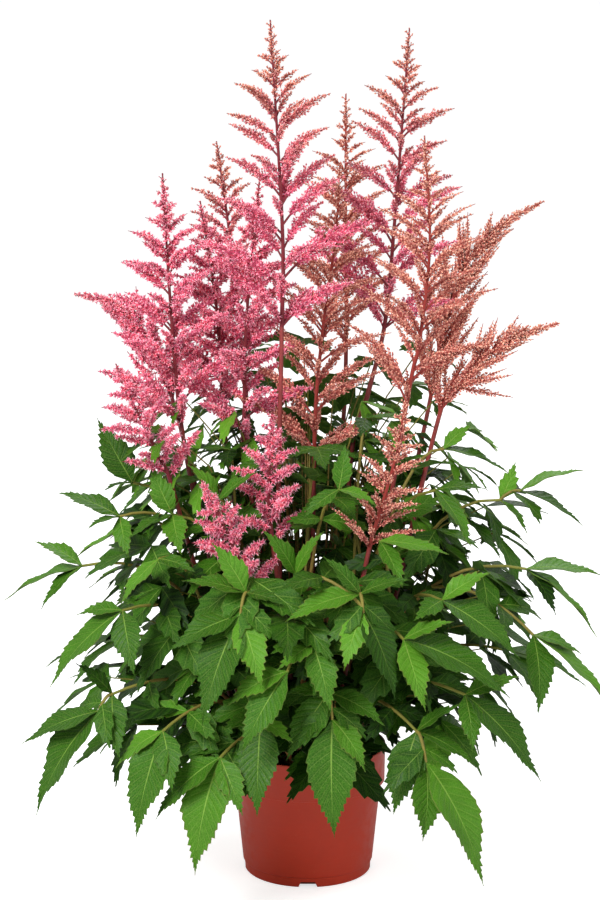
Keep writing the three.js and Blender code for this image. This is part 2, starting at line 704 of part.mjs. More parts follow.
/**
 * Toothed blades that spread from one hub as one solid. Each is thickest along its arched midrib and
 * sharp at its edge, and the edges of neighbours meet in a notch beside the hub.
 */
function bladeStar(hub, tips, grow) {
  const normals = tips.map((tip) => bladeNormal(hub, tip));
  const axis = normals.reduce((sum, normal) => sum.add(normal), new THREE.Vector3()).normalize();
  const east = tips[0].clone().sub(hub).cross(axis).normalize();
  const north = axis.clone().cross(east);
  const blades = tips.map((tip, i) => {
    const span = tip.clone().sub(hub);
    const azimuth = Math.atan2(span.dot(north), span.dot(east));
    return { tip, span, normal: normals[i], azimuth };
  });
  blades.sort((a, b) => a.azimuth - b.azimuth);

  const points = [];
  const addPoint = (point, share) => points.push(point) && { index: points.length - 1, share };
  const onHub = (height) => addPoint(hub.clone().addScaledVector(axis, height), 0);
  const [hubTop, hubBottom] = [onHub(LEAFLET.hub + grow), onHub(-LEAFLET.hub - grow)];
  const lone = blades.length === 1;
  const notchAt = (azimuth) => {
    const out = east.clone().multiplyScalar(Math.cos(azimuth)).addScaledVector(north, Math.sin(azimuth));
    return addPoint(hub.clone().addScaledVector(out, LEAFLET.hubRadius + grow), 0);
  };
  const notches = blades.map((blade, i) => {
    const next = blades[i + 1]?.azimuth ?? blades[0].azimuth + 2 * Math.PI;
    return notchAt(lone ? blade.azimuth + Math.PI / 2 : (blade.azimuth + next) / 2);
  });
  if (lone) notches.push(notchAt(blades[0].azimuth - Math.PI / 2));

  const triangles = [];
  if (lone) {
    const [left, right] = notches.map((notch) => notch.index);
    triangles.push(hubTop.index, left, right, hubBottom.index, right, left);
  }
  blades.forEach(({ tip, span, normal }, i) => {
    const length = span.length();
    const along = span.normalize();
    const side = normal.clone().cross(along);
    const add = (share, offside, lift) => {
      const crown = LEAFLET.arch * length * 4 * share * (1 - share);
      const point = hub.clone().addScaledVector(along, length * share).addScaledVector(side, offside);
      return addPoint(point.addScaledVector(normal, crown + lift), share);
    };
    const half = (length * LEAFLET.widthShare) / 2;
    const wanted = Math.round(length / LEAFLET.toothPitch);
    const teeth = THREE.MathUtils.clamp(wanted, LEAFLET.fewestTeeth, LEAFLET.mostTeeth);
    const pitch = (1 - LEAFLET.firstTooth) / teeth;
    const edges = [1, -1].map((hand) => {
      const edge = [];
      for (let k = 0; k < teeth; k++) {
        const at = LEAFLET.firstTooth + pitch * (k + LEAFLET.toothAt);
        const tooth = half * bladeProfile(at) * LEAFLET.tooth;
        edge.push(add(at, hand * (tooth + grow), LEAFLET.fold * tooth + LEAFLET.wave));
        if (k + 1 === teeth) break;
        const next = LEAFLET.firstTooth + pitch * (k + LEAFLET.notchAt);
        const notch = half * bladeProfile(next) * LEAFLET.notch;
        edge.push(add(next, hand * (notch + grow), LEAFLET.fold * notch - LEAFLET.wave * LEAFLET.notchWave));
      }
      return edge;
    });
    const places = length < LEAFLET.smallLength ? LEAFLET.smallRibs : LEAFLET.ribs;
    const ribs = [1, -1].map((face) => places.map((rib) => add(rib.at, 0, face * (rib.half + grow))));
    const apex = addPoint(tip.clone(), 1);
    const left = [notches[i], ...edges[0], apex];
    const right = [notches[lone ? 1 : (i + blades.length - 1) % blades.length], ...edges[1], apex];
    const top = [hubTop, ...ribs[0], apex];
    const bottom = [hubBottom, ...ribs[1], apex];
    triangles.push(
      ...bladeStrip(top, left, false),
      ...bladeStrip(top, right, true),
      ...bladeStrip(bottom, left, true),
      ...bladeStrip(bottom, right, false)
    );
  });
  return toSolid(indexedGeometry(points, triangles));
}

const BEND_STEP = 0.12; // tangent of the angle that a leaflet is bent by at a time
const LEAFLET_BENDS = [];
for (const share of [1, 0.85, 0.7]) {
  for (const [up, across] of [
    [0, 0], [1, 0], [-1, 0], [2, 0], [-2, 0], [1, 1], [1, -1], [-1, 1], [-1, -1], [3, 0], [-3, 0],
    [0, 1.5], [0, -1.5], [2, 1.5], [2, -1.5], [-2, 1.5], [-2, -1.5], [4, 0], [-4, 0], [3, 2], [3, -2],
    [-3, 2], [-3, -2],
  ]) LEAFLET_BENDS.push({ up: up * BEND_STEP, across: across * BEND_STEP, share });
}

/** A leaflet's tip once it is bent off its first direction. */
function bentTip(base, tip, bend) {
  const span = tip.clone().sub(base);
  const length = span.length();
  const along = span.normalize();
  const normal = bladeNormal(base, tip);
  const side = normal.clone().cross(along);
  const turned = along.addScaledVector(normal, bend.up).addScaledVector(side, bend.across).normalize();
  return base.clone().addScaledVector(turned, length * bend.share);
}

/** The curve of a division's stalk: it climbs from its start, or leaves it level, and arches to the hub. */
function stalkCurve({ start, hub, isFirst, climbs }, bow) {
  const outward = new THREE.Vector3(hub.x - start.x, hub.y - start.y, 0);
  const run = outward.length();
  const side = outward.clone().cross(UP).normalize();
  const knee = start.clone().addScaledVector(outward, climbs ? STALK.kneeOut : 0.5);
  if (climbs) knee.setZ(start.z + STALK.kneeClimb * (hub.z - start.z) + STALK.kneeLift * run);
  else knee.setZ(Math.max(start.z, hub.z) + STALK.forkLift * run);
  knee.addScaledVector(side, bow.aside).setZ(knee.z + bow.up);
  const stretch = { steps: isFirst ? STALK.steps : STALK.forkSteps };
  return { curve: new THREE.QuadraticBezierCurve3(start, knee, hub), side, stretch };
}

function stalkTube({ curve, side, stretch }, isFirst, grow) {
  return tube(curve, {
    ...stretch, sides: STALK.sides, side,
    startRadius: (isFirst ? STALK.footRadius : STALK.hubRadius) + grow, endRadius: STALK.hubRadius + grow,
  });
}

const STALK_BOWS = [];
for (const aside of [0, 8, -8, 16, -16, 26, -26, 38, -38]) {
  for (const up of [0, 14, -14, 30]) STALK_BOWS.push({ aside, up });
}

const FOOT_TURNS = [0, 0.12, -0.12, 0.24, -0.24, 0.38, -0.38, 0.52, -0.52]; // radians

/** The spot in the soil for a leaf's foot: towards its first hub, and apart from the other feet. */
function leafFoot(hub, feet) {
  const azimuth = Math.atan2(hub.y, hub.x);
  for (let radius = STALK.feetRadius; ; radius -= STALK.feetStep) {
    for (const turn of FOOT_TURNS) {
      const x = radius * Math.cos(azimuth + turn);
      const y = radius * Math.sin(azimuth + turn);
      if (feet.every((foot) => Math.hypot(foot.x - x, foot.y - y) >= STALK.feetApart)) {
        return new THREE.Vector3(x, y, FOOT_LEVEL);
      }
    }
  }
}

/** A division whose three leaflets are fanned round one direction. */
function fannedDivision(azimuth, radius, height, { length, sideShare, sideAngle, droop }) {
  const hub = [radius * Math.cos(azimuth), radius * Math.sin(azimuth), height];
  const tips = [-1, 0, 1].map((hand) => {
    const reach = length * (hand === 0 ? 1 : sideShare);
    const heading = azimuth + hand * THREE.MathUtils.degToRad(sideAngle);
    const flat = reach * Math.sqrt(1 - droop * droop);
    return [hub[0] + flat * Math.cos(heading), hub[1] + flat * Math.sin(heading), hub[2] - reach * droop];
  });
  return { hub, tips };
}

/** The leaves behind the plant, in the same form as those in front. */
function backLeaves() {
  return Array.from({ length: BACK.count }, (_, i) => {
    const lift = i % 2 === 0 ? 0 : BACK.stagger;
    const centre = BACK.firstAzimuth + ((BACK.lastAzimuth - BACK.firstAzimuth) * i) / (BACK.count - 1);
    const [low, high] = [BACK.low, BACK.high].map((tier) =>
      fannedDivision(THREE.MathUtils.degToRad(centre + tier.turn), tier.radius, tier.height + lift, BACK.fan)
    );
    return [low, { ...high, from: BACK.fork }];
  });
}

/** A leaf's divisions, with its inner one where the leaf climbs high enough. It forks off the first. */
function withInner(divisions) {
  const [x, y, z] = divisions.map(({ hub }) => hub).sort((a, b) => b[2] - a[2])[0];
  if (z < INNER.leastHeight) return divisions;
  const radius = INNER.out * Math.hypot(x, y);
  const azimuth = Math.atan2(y, x) + THREE.MathUtils.degToRad(INNER.turn);
  const inner = fannedDivision(azimuth, radius, z + INNER.climb, INNER.fan);
  return [...divisions, { ...inner, from: INNER.from, on: 0 }];
}

// ---------------------------------------------------------------- the plant, piece by piece

const plant = new THREE.Group();

function addNode(name, solid, colour, roughness) {
  const material = new THREE.MeshStandardMaterial({ color: colour, roughness, metalness: 0 });
  const mesh = new THREE.Mesh(toGeometry(solid), material);
  mesh.name = name;
  plant.add(mesh);
}

const holes = [];
const feet = [];

const pot = keep(buildPot(), "pot");

const flowers = FLOWERS.map((layout) => {
  const curve = stemLine(layout);
  const flower = { ...layout, curve, length: curve.getLength() };
  feet.push(curve.getPointAt(0));
  holes.push(bareStem(flower, CLEARANCE).translate([0, 0, -CLEARANCE]));
  keep(bareStem(flower, 0), flower.name);
  keep(plumeCore(flower, 0), flower.name);
  return flower;
});

const leaves = [...FRONT_LEAVES, ...backLeaves()].map((divisions, number) => {
  const name = `leaf_${String(number + 1).padStart(2, "0")}`;
  const foot = leafFoot(vec(divisions[0].hub), feet);
  feet.push(foot);
  return { name, foot, divisions: withInner(divisions), curves: [], parts: [] };
});

/** Adds the stalk of one of a leaf's divisions. */
function growStalk({ name, foot, divisions, curves, parts }, order) {
  const division = divisions[order];
  const isFirst = order === 0;
  const parent = curves[division.on ?? order - 1];
  const place = {
    start: isFirst ? foot : onChords(parent.curve, parent.stretch, division.from),
    hub: vec(division.hub),
    isFirst,
    climbs: isFirst || division.on !== undefined,
  };
  const family = new Set(divisions.map((_, other) => `${name} stalk ${other}`));
  const build = (bow, grow) => stalkTube(stalkCurve(place, bow), isFirst, grow);
  const stalk = stalkCurve(place, placeClear(STALK_BOWS, build, `${name} stalk ${order}`, family));
  if (isFirst) holes.push(stalkTube(stalk, true, CLEARANCE).translate([0, 0, -CLEARANCE]));
  parts.push(stalkTube(stalk, isFirst, 0));
  curves.push(stalk);
}

/** Adds the leaflets of one of a leaf's divisions. They may touch its own stalk and one that goes on from it. */
function growBlades({ name, divisions, parts }, order) {
  const division = divisions[order];
  const owner = `${name} blades ${order}`;
  const family = new Set([`${name} stalk ${order}`, owner]);
  if (divisions[order + 1]?.from === 1) family.add(`${name} stalk ${order + 1}`);
  if (division.from === 1) family.add(`${name} stalk ${order - 1}`).add(`${name} blades ${order - 1}`);
  const hub = vec(division.hub);
  const sisters = [];
  const tips = division.tips.map(vec).map((tip) => {
    const whole = (bend, grow) => bladeStar(hub, [bentTip(hub, tip, bend)], grow);
    const beyondRoot = (bend, grow) => {
      const end = bentTip(hub, tip, bend);
      return bladeStar(hub.clone().lerp(end, LEAFLET.neck), [end], grow);
    };
    const bend = placeClear(LEAFLET_BENDS, whole, owner, family, sisters, beyondRoot);
    sisters.push(beyondRoot(bend, 0));
    return bentTip(hub, tip, bend);
  });
  parts.push(bladeStar(hub, tips, 0));
}

for (const isInner of [false, true]) {
  for (const grow of [growStalk, growBlades]) {
    for (const leaf of leaves) {
      leaf.divisions.forEach((division, order) => {
        if ((division.on !== undefined) === isInner) grow(leaf, order);
      });
    }
  }
}

flowers.forEach((flower, number) => {
  const draws = seededDraws(number + 1);
  const family = new Set([flower.name]);
  const parts = [plumeCore(flower, 0)];
  branchRoots(flower).forEach((below, index) => {
    const build = sideBranch(flower, below, index, draws());
    const bend = placeClear(BRANCH_BENDS, build, flower.name, family);
    parts.push(build(bend, 0));
  });
  flower.parts = parts;
});

addNode("pot", pot, COLOURS.pot, 0.5);
addNode("soil", buildSoil(holes), COLOURS.soil, 0.95);
for (const flower of flowers) {
  addNode(`stem_${flower.name}`, bareStem(flower, 0), COLOURS.stem, 0.55);
  addNode(`plume_${flower.name}`, fuse(flower.name, flower.parts), COLOURS[flower.tint], 0.8);
}
for (const leaf of leaves) addNode(leaf.name, fuse(leaf.name, leaf.parts), COLOURS.leaf, 0.6);

if (notes.length) console.warn(notes.join("\n"));

export default plant;
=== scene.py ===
"""Looks of a flowering astilbe in its nursery pot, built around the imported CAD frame.

Lengths are millimetres until a mesh is written, which turns them into the frame's metres. The plant's
layout repeats the driving dimensions of the CAD source, and each bend that the CAD gave to a stalk, a
leaflet or a side branch is found again by looking for its end among the vertices of its CAD node.
"""

import json
import logging
import math
from dataclasses import dataclass, field, replace
from enum import Enum
from typing import Callable, Iterable, Sequence

import bmesh
import bpy
import numpy as np
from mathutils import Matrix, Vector
from mathutils.kdtree import KDTree

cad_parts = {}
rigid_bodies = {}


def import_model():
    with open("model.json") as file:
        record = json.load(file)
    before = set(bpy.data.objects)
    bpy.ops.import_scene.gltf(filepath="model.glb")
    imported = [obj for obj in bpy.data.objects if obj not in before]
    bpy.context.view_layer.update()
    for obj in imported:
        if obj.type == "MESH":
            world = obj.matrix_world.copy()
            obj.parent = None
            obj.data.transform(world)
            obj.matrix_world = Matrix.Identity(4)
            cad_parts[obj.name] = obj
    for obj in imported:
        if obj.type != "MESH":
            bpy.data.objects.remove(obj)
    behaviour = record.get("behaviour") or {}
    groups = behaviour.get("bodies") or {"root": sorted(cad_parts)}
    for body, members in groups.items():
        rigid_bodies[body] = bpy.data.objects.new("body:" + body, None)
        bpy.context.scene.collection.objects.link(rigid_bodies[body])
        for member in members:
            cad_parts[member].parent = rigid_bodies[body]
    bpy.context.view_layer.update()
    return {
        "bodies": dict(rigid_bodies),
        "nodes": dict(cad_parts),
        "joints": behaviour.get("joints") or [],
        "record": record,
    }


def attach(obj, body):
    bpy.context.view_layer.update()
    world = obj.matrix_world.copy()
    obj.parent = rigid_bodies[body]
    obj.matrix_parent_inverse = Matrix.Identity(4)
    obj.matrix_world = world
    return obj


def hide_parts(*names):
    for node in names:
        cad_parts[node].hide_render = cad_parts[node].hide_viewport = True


log = logging.getLogger("astilbe")

Array = np.ndarray
Rng = np.random.Generator
Object = bpy.types.Object
Point = tuple[float, ...]
Range = tuple[float, float]
Row = tuple[float, ...]

MM = 0.001
UP = np.array([0.0, 0.0, 1.0])
BODY = "root"
GOLDEN_TURN = math.radians(137.5)
FULL_TURN = 2 * math.pi
STRAIGHT = 0.9
SHARP_ANGLE = 50


# ---- layout of the plant


class Tint(Enum):
    """Colour family of a plume's florets. The value ends the name of its material slot."""

    PINK = "pink"
    ROSE = "rose"
    SALMON = "salmon"


@dataclass(frozen=True)
class FlowerPlan:
    """One flower stem with its plume.

    Attributes:
        name: Ends the names of the stem's and the plume's nodes.
        tint: Colour family of the florets.
        plume: How much of the line carries florets, measured down from the apex.
        spread: Reach that side branches tend to.
        taper: Reach gained per millimetre below the apex.
        line: Points that the stem passes through, from its foot, which has no height, to the apex.
    """

    name: str
    tint: Tint
    plume: float
    spread: float
    taper: float
    line: tuple[Point, ...]


@dataclass(frozen=True)
class Division:
    """One division of a compound leaf: a stalk that ends at a hub, and the leaflets on the hub.

    Attributes:
        hub: Where the leaflets meet.
        tips: Where each leaflet ends before the CAD bends it.
        start: Share of the stalk before it that this division's stalk leaves it at, or None for the first.
        inner: True for one that forks off the first stalk instead, and climbs into the plant.
    """

    hub: Point
    tips: tuple[Point, ...]
    start: float | None = None
    inner: bool = False


FLOWERS = (
    FlowerPlan("tall_left_of_centre", Tint.ROSE, 285, 101, 0.60,
               ((-20, -36), (-28, -42, 344), (-25, -47, 540), (-24, -50, 640), (-35, -50, 835))),
    FlowerPlan("tall_right", Tint.ROSE, 290, 94, 0.60,
               ((24, 20), (42, 28, 404), (58, 36, 469), (75, 42, 540), (84, 46, 640), (97, 50, 824))),
    FlowerPlan("left_high", Tint.PINK, 245, 101, 0.60,
               ((-38, -12), (-102, -12, 346), (-122, -14, 454), (-131, -16, 571), (-137, -18, 692))),
    FlowerPlan("left_back", Tint.ROSE, 205, 79, 0.59,
               ((-26, 44), (-52, 80, 350), (-66, 94, 514), (-78, 98, 625), (-90, 101, 713))),
    FlowerPlan("left_inner", Tint.PINK, 205, 86, 0.67,
               ((-32, 12), (-80, 22, 427), (-84, 26, 489), (-89, 32, 560), (-104, 40, 660))),
    FlowerPlan("centre_left", Tint.PINK, 265, 86, 0.60,
               ((-10, -12), (-58, -2, 400), (-61, -4, 470), (-59, -6, 550), (-46, -4, 684))),
    FlowerPlan("far_left_leaning", Tint.PINK, 165, 79, 0.71,
               ((-46, 22), (-123, 46, 427), (-157, 56, 520), (-190, 60, 556), (-229, 62, 567))),
    FlowerPlan("centre_back", Tint.SALMON, 255, 74, 0.54,
               ((10, 46), (34, 104, 399), (39, 124, 520), (38, 134, 660), (38, 138, 757))),
    FlowerPlan("centre_right", Tint.SALMON, 285, 79, 0.56,
               ((4, 10), (6, 0, 420), (14, -4, 540), (26, -6, 630), (30, -6, 699))),
    FlowerPlan("right_inner", Tint.SALMON, 265, 86, 0.59,
               ((36, -16), (92, -46, 470), (104, -52, 534), (113, -56, 629), (107, -58, 730))),
    FlowerPlan("right_leaning_high", Tint.SALMON, 235, 82, 0.65,
               ((42, 26), (116, 52, 440), (127, 56, 505), (152, 60, 590), (186, 62, 632), (229, 64, 657))),
    FlowerPlan("right_leaning_low", Tint.SALMON, 155, 67, 0.67,
               ((46, -2), (122, -34, 452), (142, -40, 492), (168, -44, 523), (192, -47, 540),
                (235, -50, 554))),
    FlowerPlan("front_right_small", Tint.SALMON, 150, 53, 0.54,
               ((16, -40), (42, -84, 263), (57, -98, 348), (70, -104, 396), (81, -108, 440),
                (90, -110, 494))),
    FlowerPlan("front_centre_small", Tint.PINK, 130, 67, 0.73,
               ((-2, -52), (-30, -74, 320), (-37, -78, 390), (-36, -80, 430), (-33, -82, 476))),
    FlowerPlan("front_left_low", Tint.PINK, 125, 55, 0.67,
               ((-32, -48), (-50, -106, 280), (-60, -120, 330), (-78, -128, 376), (-98, -132, 421))),
    FlowerPlan("left_small", Tint.PINK, 125, 70, 0.71,
               ((-54, -8), (-124, -54, 380), (-139, -58, 424), (-160, -62, 470), (-180, -64, 518))),
)

FRONT_LEAVES = (
    (Division((-167, -44, 400), ((-201, -30, 460), (-141, -66, 432), (-192, -70, 398))),
     Division((-178, -66, 372), ((-238, -44, 390), (-206, -92, 366), (-168, -98, 340)), 0.72)),
    (Division((-216, -50, 320), ((-262, -38, 341), (-293, -36, 282), (-252, -84, 287))),),
    (Division((-173, -118, 294), ((-240, -138, 226), (-216, -110, 288), (-160, -160, 243))),
     Division((-138, -124, 345), ((-172, -150, 309), (-104, -146, 338)), 0.62)),
    (Division((-183, -128, 216), ((-216, -130, 246), (-174, -168, 165))),
     Division((-195, -136, 202), ((-268, -128, 168), (-253, -156, 108)), 1)),
    (Division((-134, -166, 192), ((-158, -196, 100), (-182, -160, 160), (-124, -204, 146))),),
    (Division((-81, -176, 170), ((-140, -186, 114), (-104, -200, 66), (-60, -204, 124))),
     Division((-44, -158, 200), ((-47, -196, 120), (-14, -182, 186)), 0.66)),
    (Division((-57, -160, 322), ((-88, -158, 368), (-22, -180, 316), (-114, -164, 334))),
     Division((-62, -172, 304), ((-127, -188, 274), (-96, -204, 210), (-42, -208, 246)), 1)),
    (Division((-19, -186, 255), ((-60, -206, 184), (-74, -192, 224))),
     Division((4, -176, 278), ((20, -206, 222), (-28, -206, 262)), 0.8)),
    (Division((19, -150, 224), ((-20, -176, 168), (70, -172, 199), (-22, -160, 226))),
     Division((22, -166, 203), ((24, -190, 98), (52, -186, 160)), 1)),
    (Division((47, -164, 322), ((-20, -184, 294), (14, -162, 356), (92, -176, 338))),
     Division((50, -172, 306), ((78, -200, 234), (32, -206, 262)), 1),
     Division((-12, -140, 334), ((-42, -150, 378), (14, -146, 376)), 0.74)),
    (Division((87, -168, 280), ((132, -172, 298), (183, -186, 230), (106, -200, 222))),),
    (Division((123, -142, 310), ((168, -140, 336), (194, -160, 260), (96, -176, 300))),
     Division((66, -124, 362), ((130, -128, 350), (86, -158, 326)), 0.66)),
    (Division((119, -96, 404), ((164, -98, 406), (150, -130, 358))),
     Division((129, -40, 432), ((192, -30, 406), (156, -22, 452)), 0.78)),
    (Division((184, -34, 381), ((197, -22, 416), (208, -58, 354))),
     Division((203, -34, 390), ((264, -30, 409), (262, -44, 358)), 1)),
    (Division((207, -66, 321), ((281, -58, 312), (274, -80, 258), (228, -104, 282))),
     Division((212, -98, 265), ((287, -106, 190), (214, -138, 200), (252, -84, 232)), 0.7)),
    (Division((145, -150, 222), ((214, -170, 146), (196, -138, 236), (150, -184, 178))),),
    (Division((100, -160, 190), ((78, -186, 118), (143, -166, 214), (152, -176, 162))),
     Division((108, -178, 166), ((160, -206, 58), (112, -200, 96)), 1)),
    (Division((-128, -66, 374), ((-166, -96, 352), (-118, -112, 346), (-148, -48, 418))),
     Division((-84, -88, 392), ((-72, -126, 356), (-112, -96, 428), (-48, -92, 420)), 0.7)),
    (Division((28, -122, 410), ((-4, -140, 388), (62, -136, 398), (34, -116, 452))),),
)


@dataclass(frozen=True)
class Fan:
    """Three leaflets that spread from a hub.

    Attributes:
        length: Length of the middle one.
        side_share: Length of the other two, as a share of it.
        side_angle: How far aside those point, in degrees.
        droop: Sine of the angle that all three hang down at.
    """

    length: float
    side_share: float
    side_angle: float
    droop: float

    def division(self, azimuth: float, radius: float, height: float, start: float | None,
                 inner: bool = False) -> Division:
        """A division whose leaflets are fanned round one direction.

        Args:
            azimuth: The direction, in radians from +X.
            radius: How far out its hub is.
            height: How high its hub is.
            start: Where its stalk forks off.
            inner: True for one that forks off the first stalk.

        Returns:
            The division.
        """
        hub = np.array([radius * math.cos(azimuth), radius * math.sin(azimuth), height])
        tips = []
        for hand in (-1, 0, 1):
            length = self.length * (1 if hand == 0 else self.side_share)
            heading = azimuth + hand * math.radians(self.side_angle)
            flat = length * math.sqrt(1 - self.droop**2)
            reach = [flat * math.cos(heading), flat * math.sin(heading), -length * self.droop]
            tips.append(tuple(hub + reach))
        return Division(tuple(hub), tuple(tips), start, inner)


@dataclass(frozen=True)
class BackLeafRule:
    """Leaves behind the plant: pairs of divisions fanned round its back."""

    count: int = 7
    first_azimuth: float = 8
    last_azimuth: float = 172
    radii: Range = (192, 146)
    heights: Range = (222, 352)
    turns: Range = (-7, 8)
    stagger: float = 34
    fork: float = 0.6
    fan: Fan = Fan(92, 0.86, 66, 0.42)

    def leaves(self) -> list[tuple[Division, ...]]:
        """The divisions of every leaf behind."""
        found = []
        for i, azimuth in enumerate(np.linspace(self.first_azimuth, self.last_azimuth, self.count)):
            lift = self.stagger * (i % 2)
            tiers = zip(self.radii, self.heights, self.turns, (None, self.fork))
            found.append(tuple(
                self.fan.division(math.radians(azimuth + turn), radius, height + lift, start)
                for radius, height, turn, start in tiers
            ))
        return found


@dataclass(frozen=True)
class InnerRule:
    """One more division for each leaf that climbs high enough, nearer the stems and above the others."""

    least_height: float = 340
    start: float = 0.42
    out: float = 0.44
    climb: float = 26
    turn: float = -4
    fan: Fan = Fan(50, 0.86, 78, 0.25)

    def added(self, divisions: tuple[Division, ...]) -> tuple[Division, ...]:
        """A leaf's divisions, with the inner one where it has one."""
        x, y, z = max((division.hub for division in divisions), key=lambda hub: hub[2])
        if z < self.least_height:
            return divisions
        azimuth = math.atan2(y, x) + math.radians(self.turn)
        radius = self.out * math.hypot(x, y)
        return (*divisions, self.fan.division(azimuth, radius, z + self.climb, self.start, inner=True))


# ---- lines


def unit(vectors: Array) -> Array:
    """Vectors brought to length one."""
    return vectors / np.maximum(np.linalg.norm(vectors, axis=-1, keepdims=True), 1e-12)


class Line:
    """A smooth line whose points are asked for by their share of its length."""

    divisions = 200
    nudge = 0.0001

    def __init__(self) -> None:
        """Measures the line."""
        self._parameters = np.linspace(0, 1, self.divisions + 1)
        steps = np.diff(self.point(self._parameters), axis=0)
        self._lengths = np.concatenate([[0], np.cumsum(np.linalg.norm(steps, axis=1))])
        self.length = float(self._lengths[-1])

    def point(self, parameter: Array) -> Array:
        """Points at the line's own parameter."""
        raise NotImplementedError

    def at(self, share: float | Array) -> Array:
        """Points at shares of the length."""
        return self.point(self._parameter(share))

    def direction(self, share: float | Array) -> Array:
        """Unit directions at shares of the length."""
        parameter = self._parameter(share)
        ahead = self.point(np.minimum(parameter + self.nudge, 1))
        behind = self.point(np.maximum(parameter - self.nudge, 0))
        return unit(ahead - behind)

    def _parameter(self, share: float | Array) -> Array:
        """The line's own parameter at shares of the length."""
        return np.interp(np.asarray(share, float) * self.length, self._lengths, self._parameters)

    def on_chords(self, share: float, low: float, high: float, steps: int) -> Array:
        """A point on the straight stretches of the CAD tube along the line.

        Args:
            share: Where on the line, as a share of its length.
            low: Share at which the tube starts.
            high: Share at which it ends.
            steps: Number of its straight stretches.

        Returns:
            The point.
        """
        place = (share - low) / (high - low) * steps
        index = int(np.clip(math.floor(place), 0, steps - 1))
        ends = self.at(low + (high - low) * np.array([index, index + 1]) / steps)
        return ends[0] + (ends[1] - ends[0]) * (place - index)


class ThroughLine(Line):
    """A line that passes smoothly through a row of points."""

    def __init__(self, points: Sequence[Sequence[float]]) -> None:
        """Args: points are those that the line passes through."""
        row = np.array(points, float)
        self._row = np.vstack([2 * row[0] - row[1], row, 2 * row[-1] - row[-2]])
        super().__init__()

    def point(self, parameter: Array) -> Array:
        """Points at the line's own parameter."""
        spans = len(self._row) - 3
        place = np.asarray(parameter, float) * spans
        index = np.clip(np.floor(place).astype(int), 0, spans - 1)
        t = (place - index)[..., None]
        before, start, end, after = (self._row[index + k] for k in range(4))
        pull_in, pull_out = (end - before) / 2, (after - start) / 2
        return (
            start + pull_in * t
            + (3 * (end - start) - 2 * pull_in - pull_out) * t**2
            + (2 * (start - end) + pull_in + pull_out) * t**3
        )


class BowedLine(Line):
    """A line from start to end that bends once, towards a knee."""

    def __init__(self, start: Array, knee: Array, end: Array) -> None:
        """Args: start, knee and end are the three points that shape the line."""
        self._ends = (np.asarray(start, float), np.asarray(knee, float), np.asarray(end, float))
        super().__init__()

    def point(self, parameter: Array) -> Array:
        """Points at the line's own parameter."""
        start, knee, end = self._ends
        t = np.asarray(parameter, float)[..., None]
        return (1 - t) ** 2 * start + 2 * t * (1 - t) * knee + t**2 * end


class NodePoints:
    """The vertices of a CAD node, for finding which of several places it was built at."""

    def __init__(self, node: Object) -> None:
        """Args: node is the CAD node's object."""
        places = np.empty(len(node.data.vertices) * 3, np.float32)
        node.data.vertices.foreach_get("co", places)
        places = places.reshape(-1, 3) / MM
        self._tree = KDTree(len(places))
        for index, place in enumerate(places):
            self._tree.insert(place, index)
        self._tree.balance()

    def nearest_choice(self, places: Iterable[Array]) -> int:
        """Which of several places lies closest to a vertex."""
        return int(np.argmin([self._tree.find(place)[2] for place in places]))


# ---- meshes


@dataclass(frozen=True)
class Pattern:
    """A small mesh that is modelled once and then copied many times over."""

    points: Array
    triangles: Array

    @classmethod
    def take(cls, obj: Object) -> "Pattern":
        """Reads a modelled object's mesh and removes the object.

        Args:
            obj: The object, in object mode.

        Returns:
            Its mesh, in triangles.
        """
        mesh = obj.data
        mesh.calc_loop_triangles()
        points = np.empty(len(mesh.vertices) * 3)
        mesh.vertices.foreach_get("co", points)
        triangles = np.empty(len(mesh.loop_triangles) * 3, int)
        mesh.loop_triangles.foreach_get("vertices", triangles)
        bpy.data.objects.remove(obj)
        bpy.data.meshes.remove(mesh)
        return cls(points.reshape(-1, 3), triangles.reshape(-1, 3))


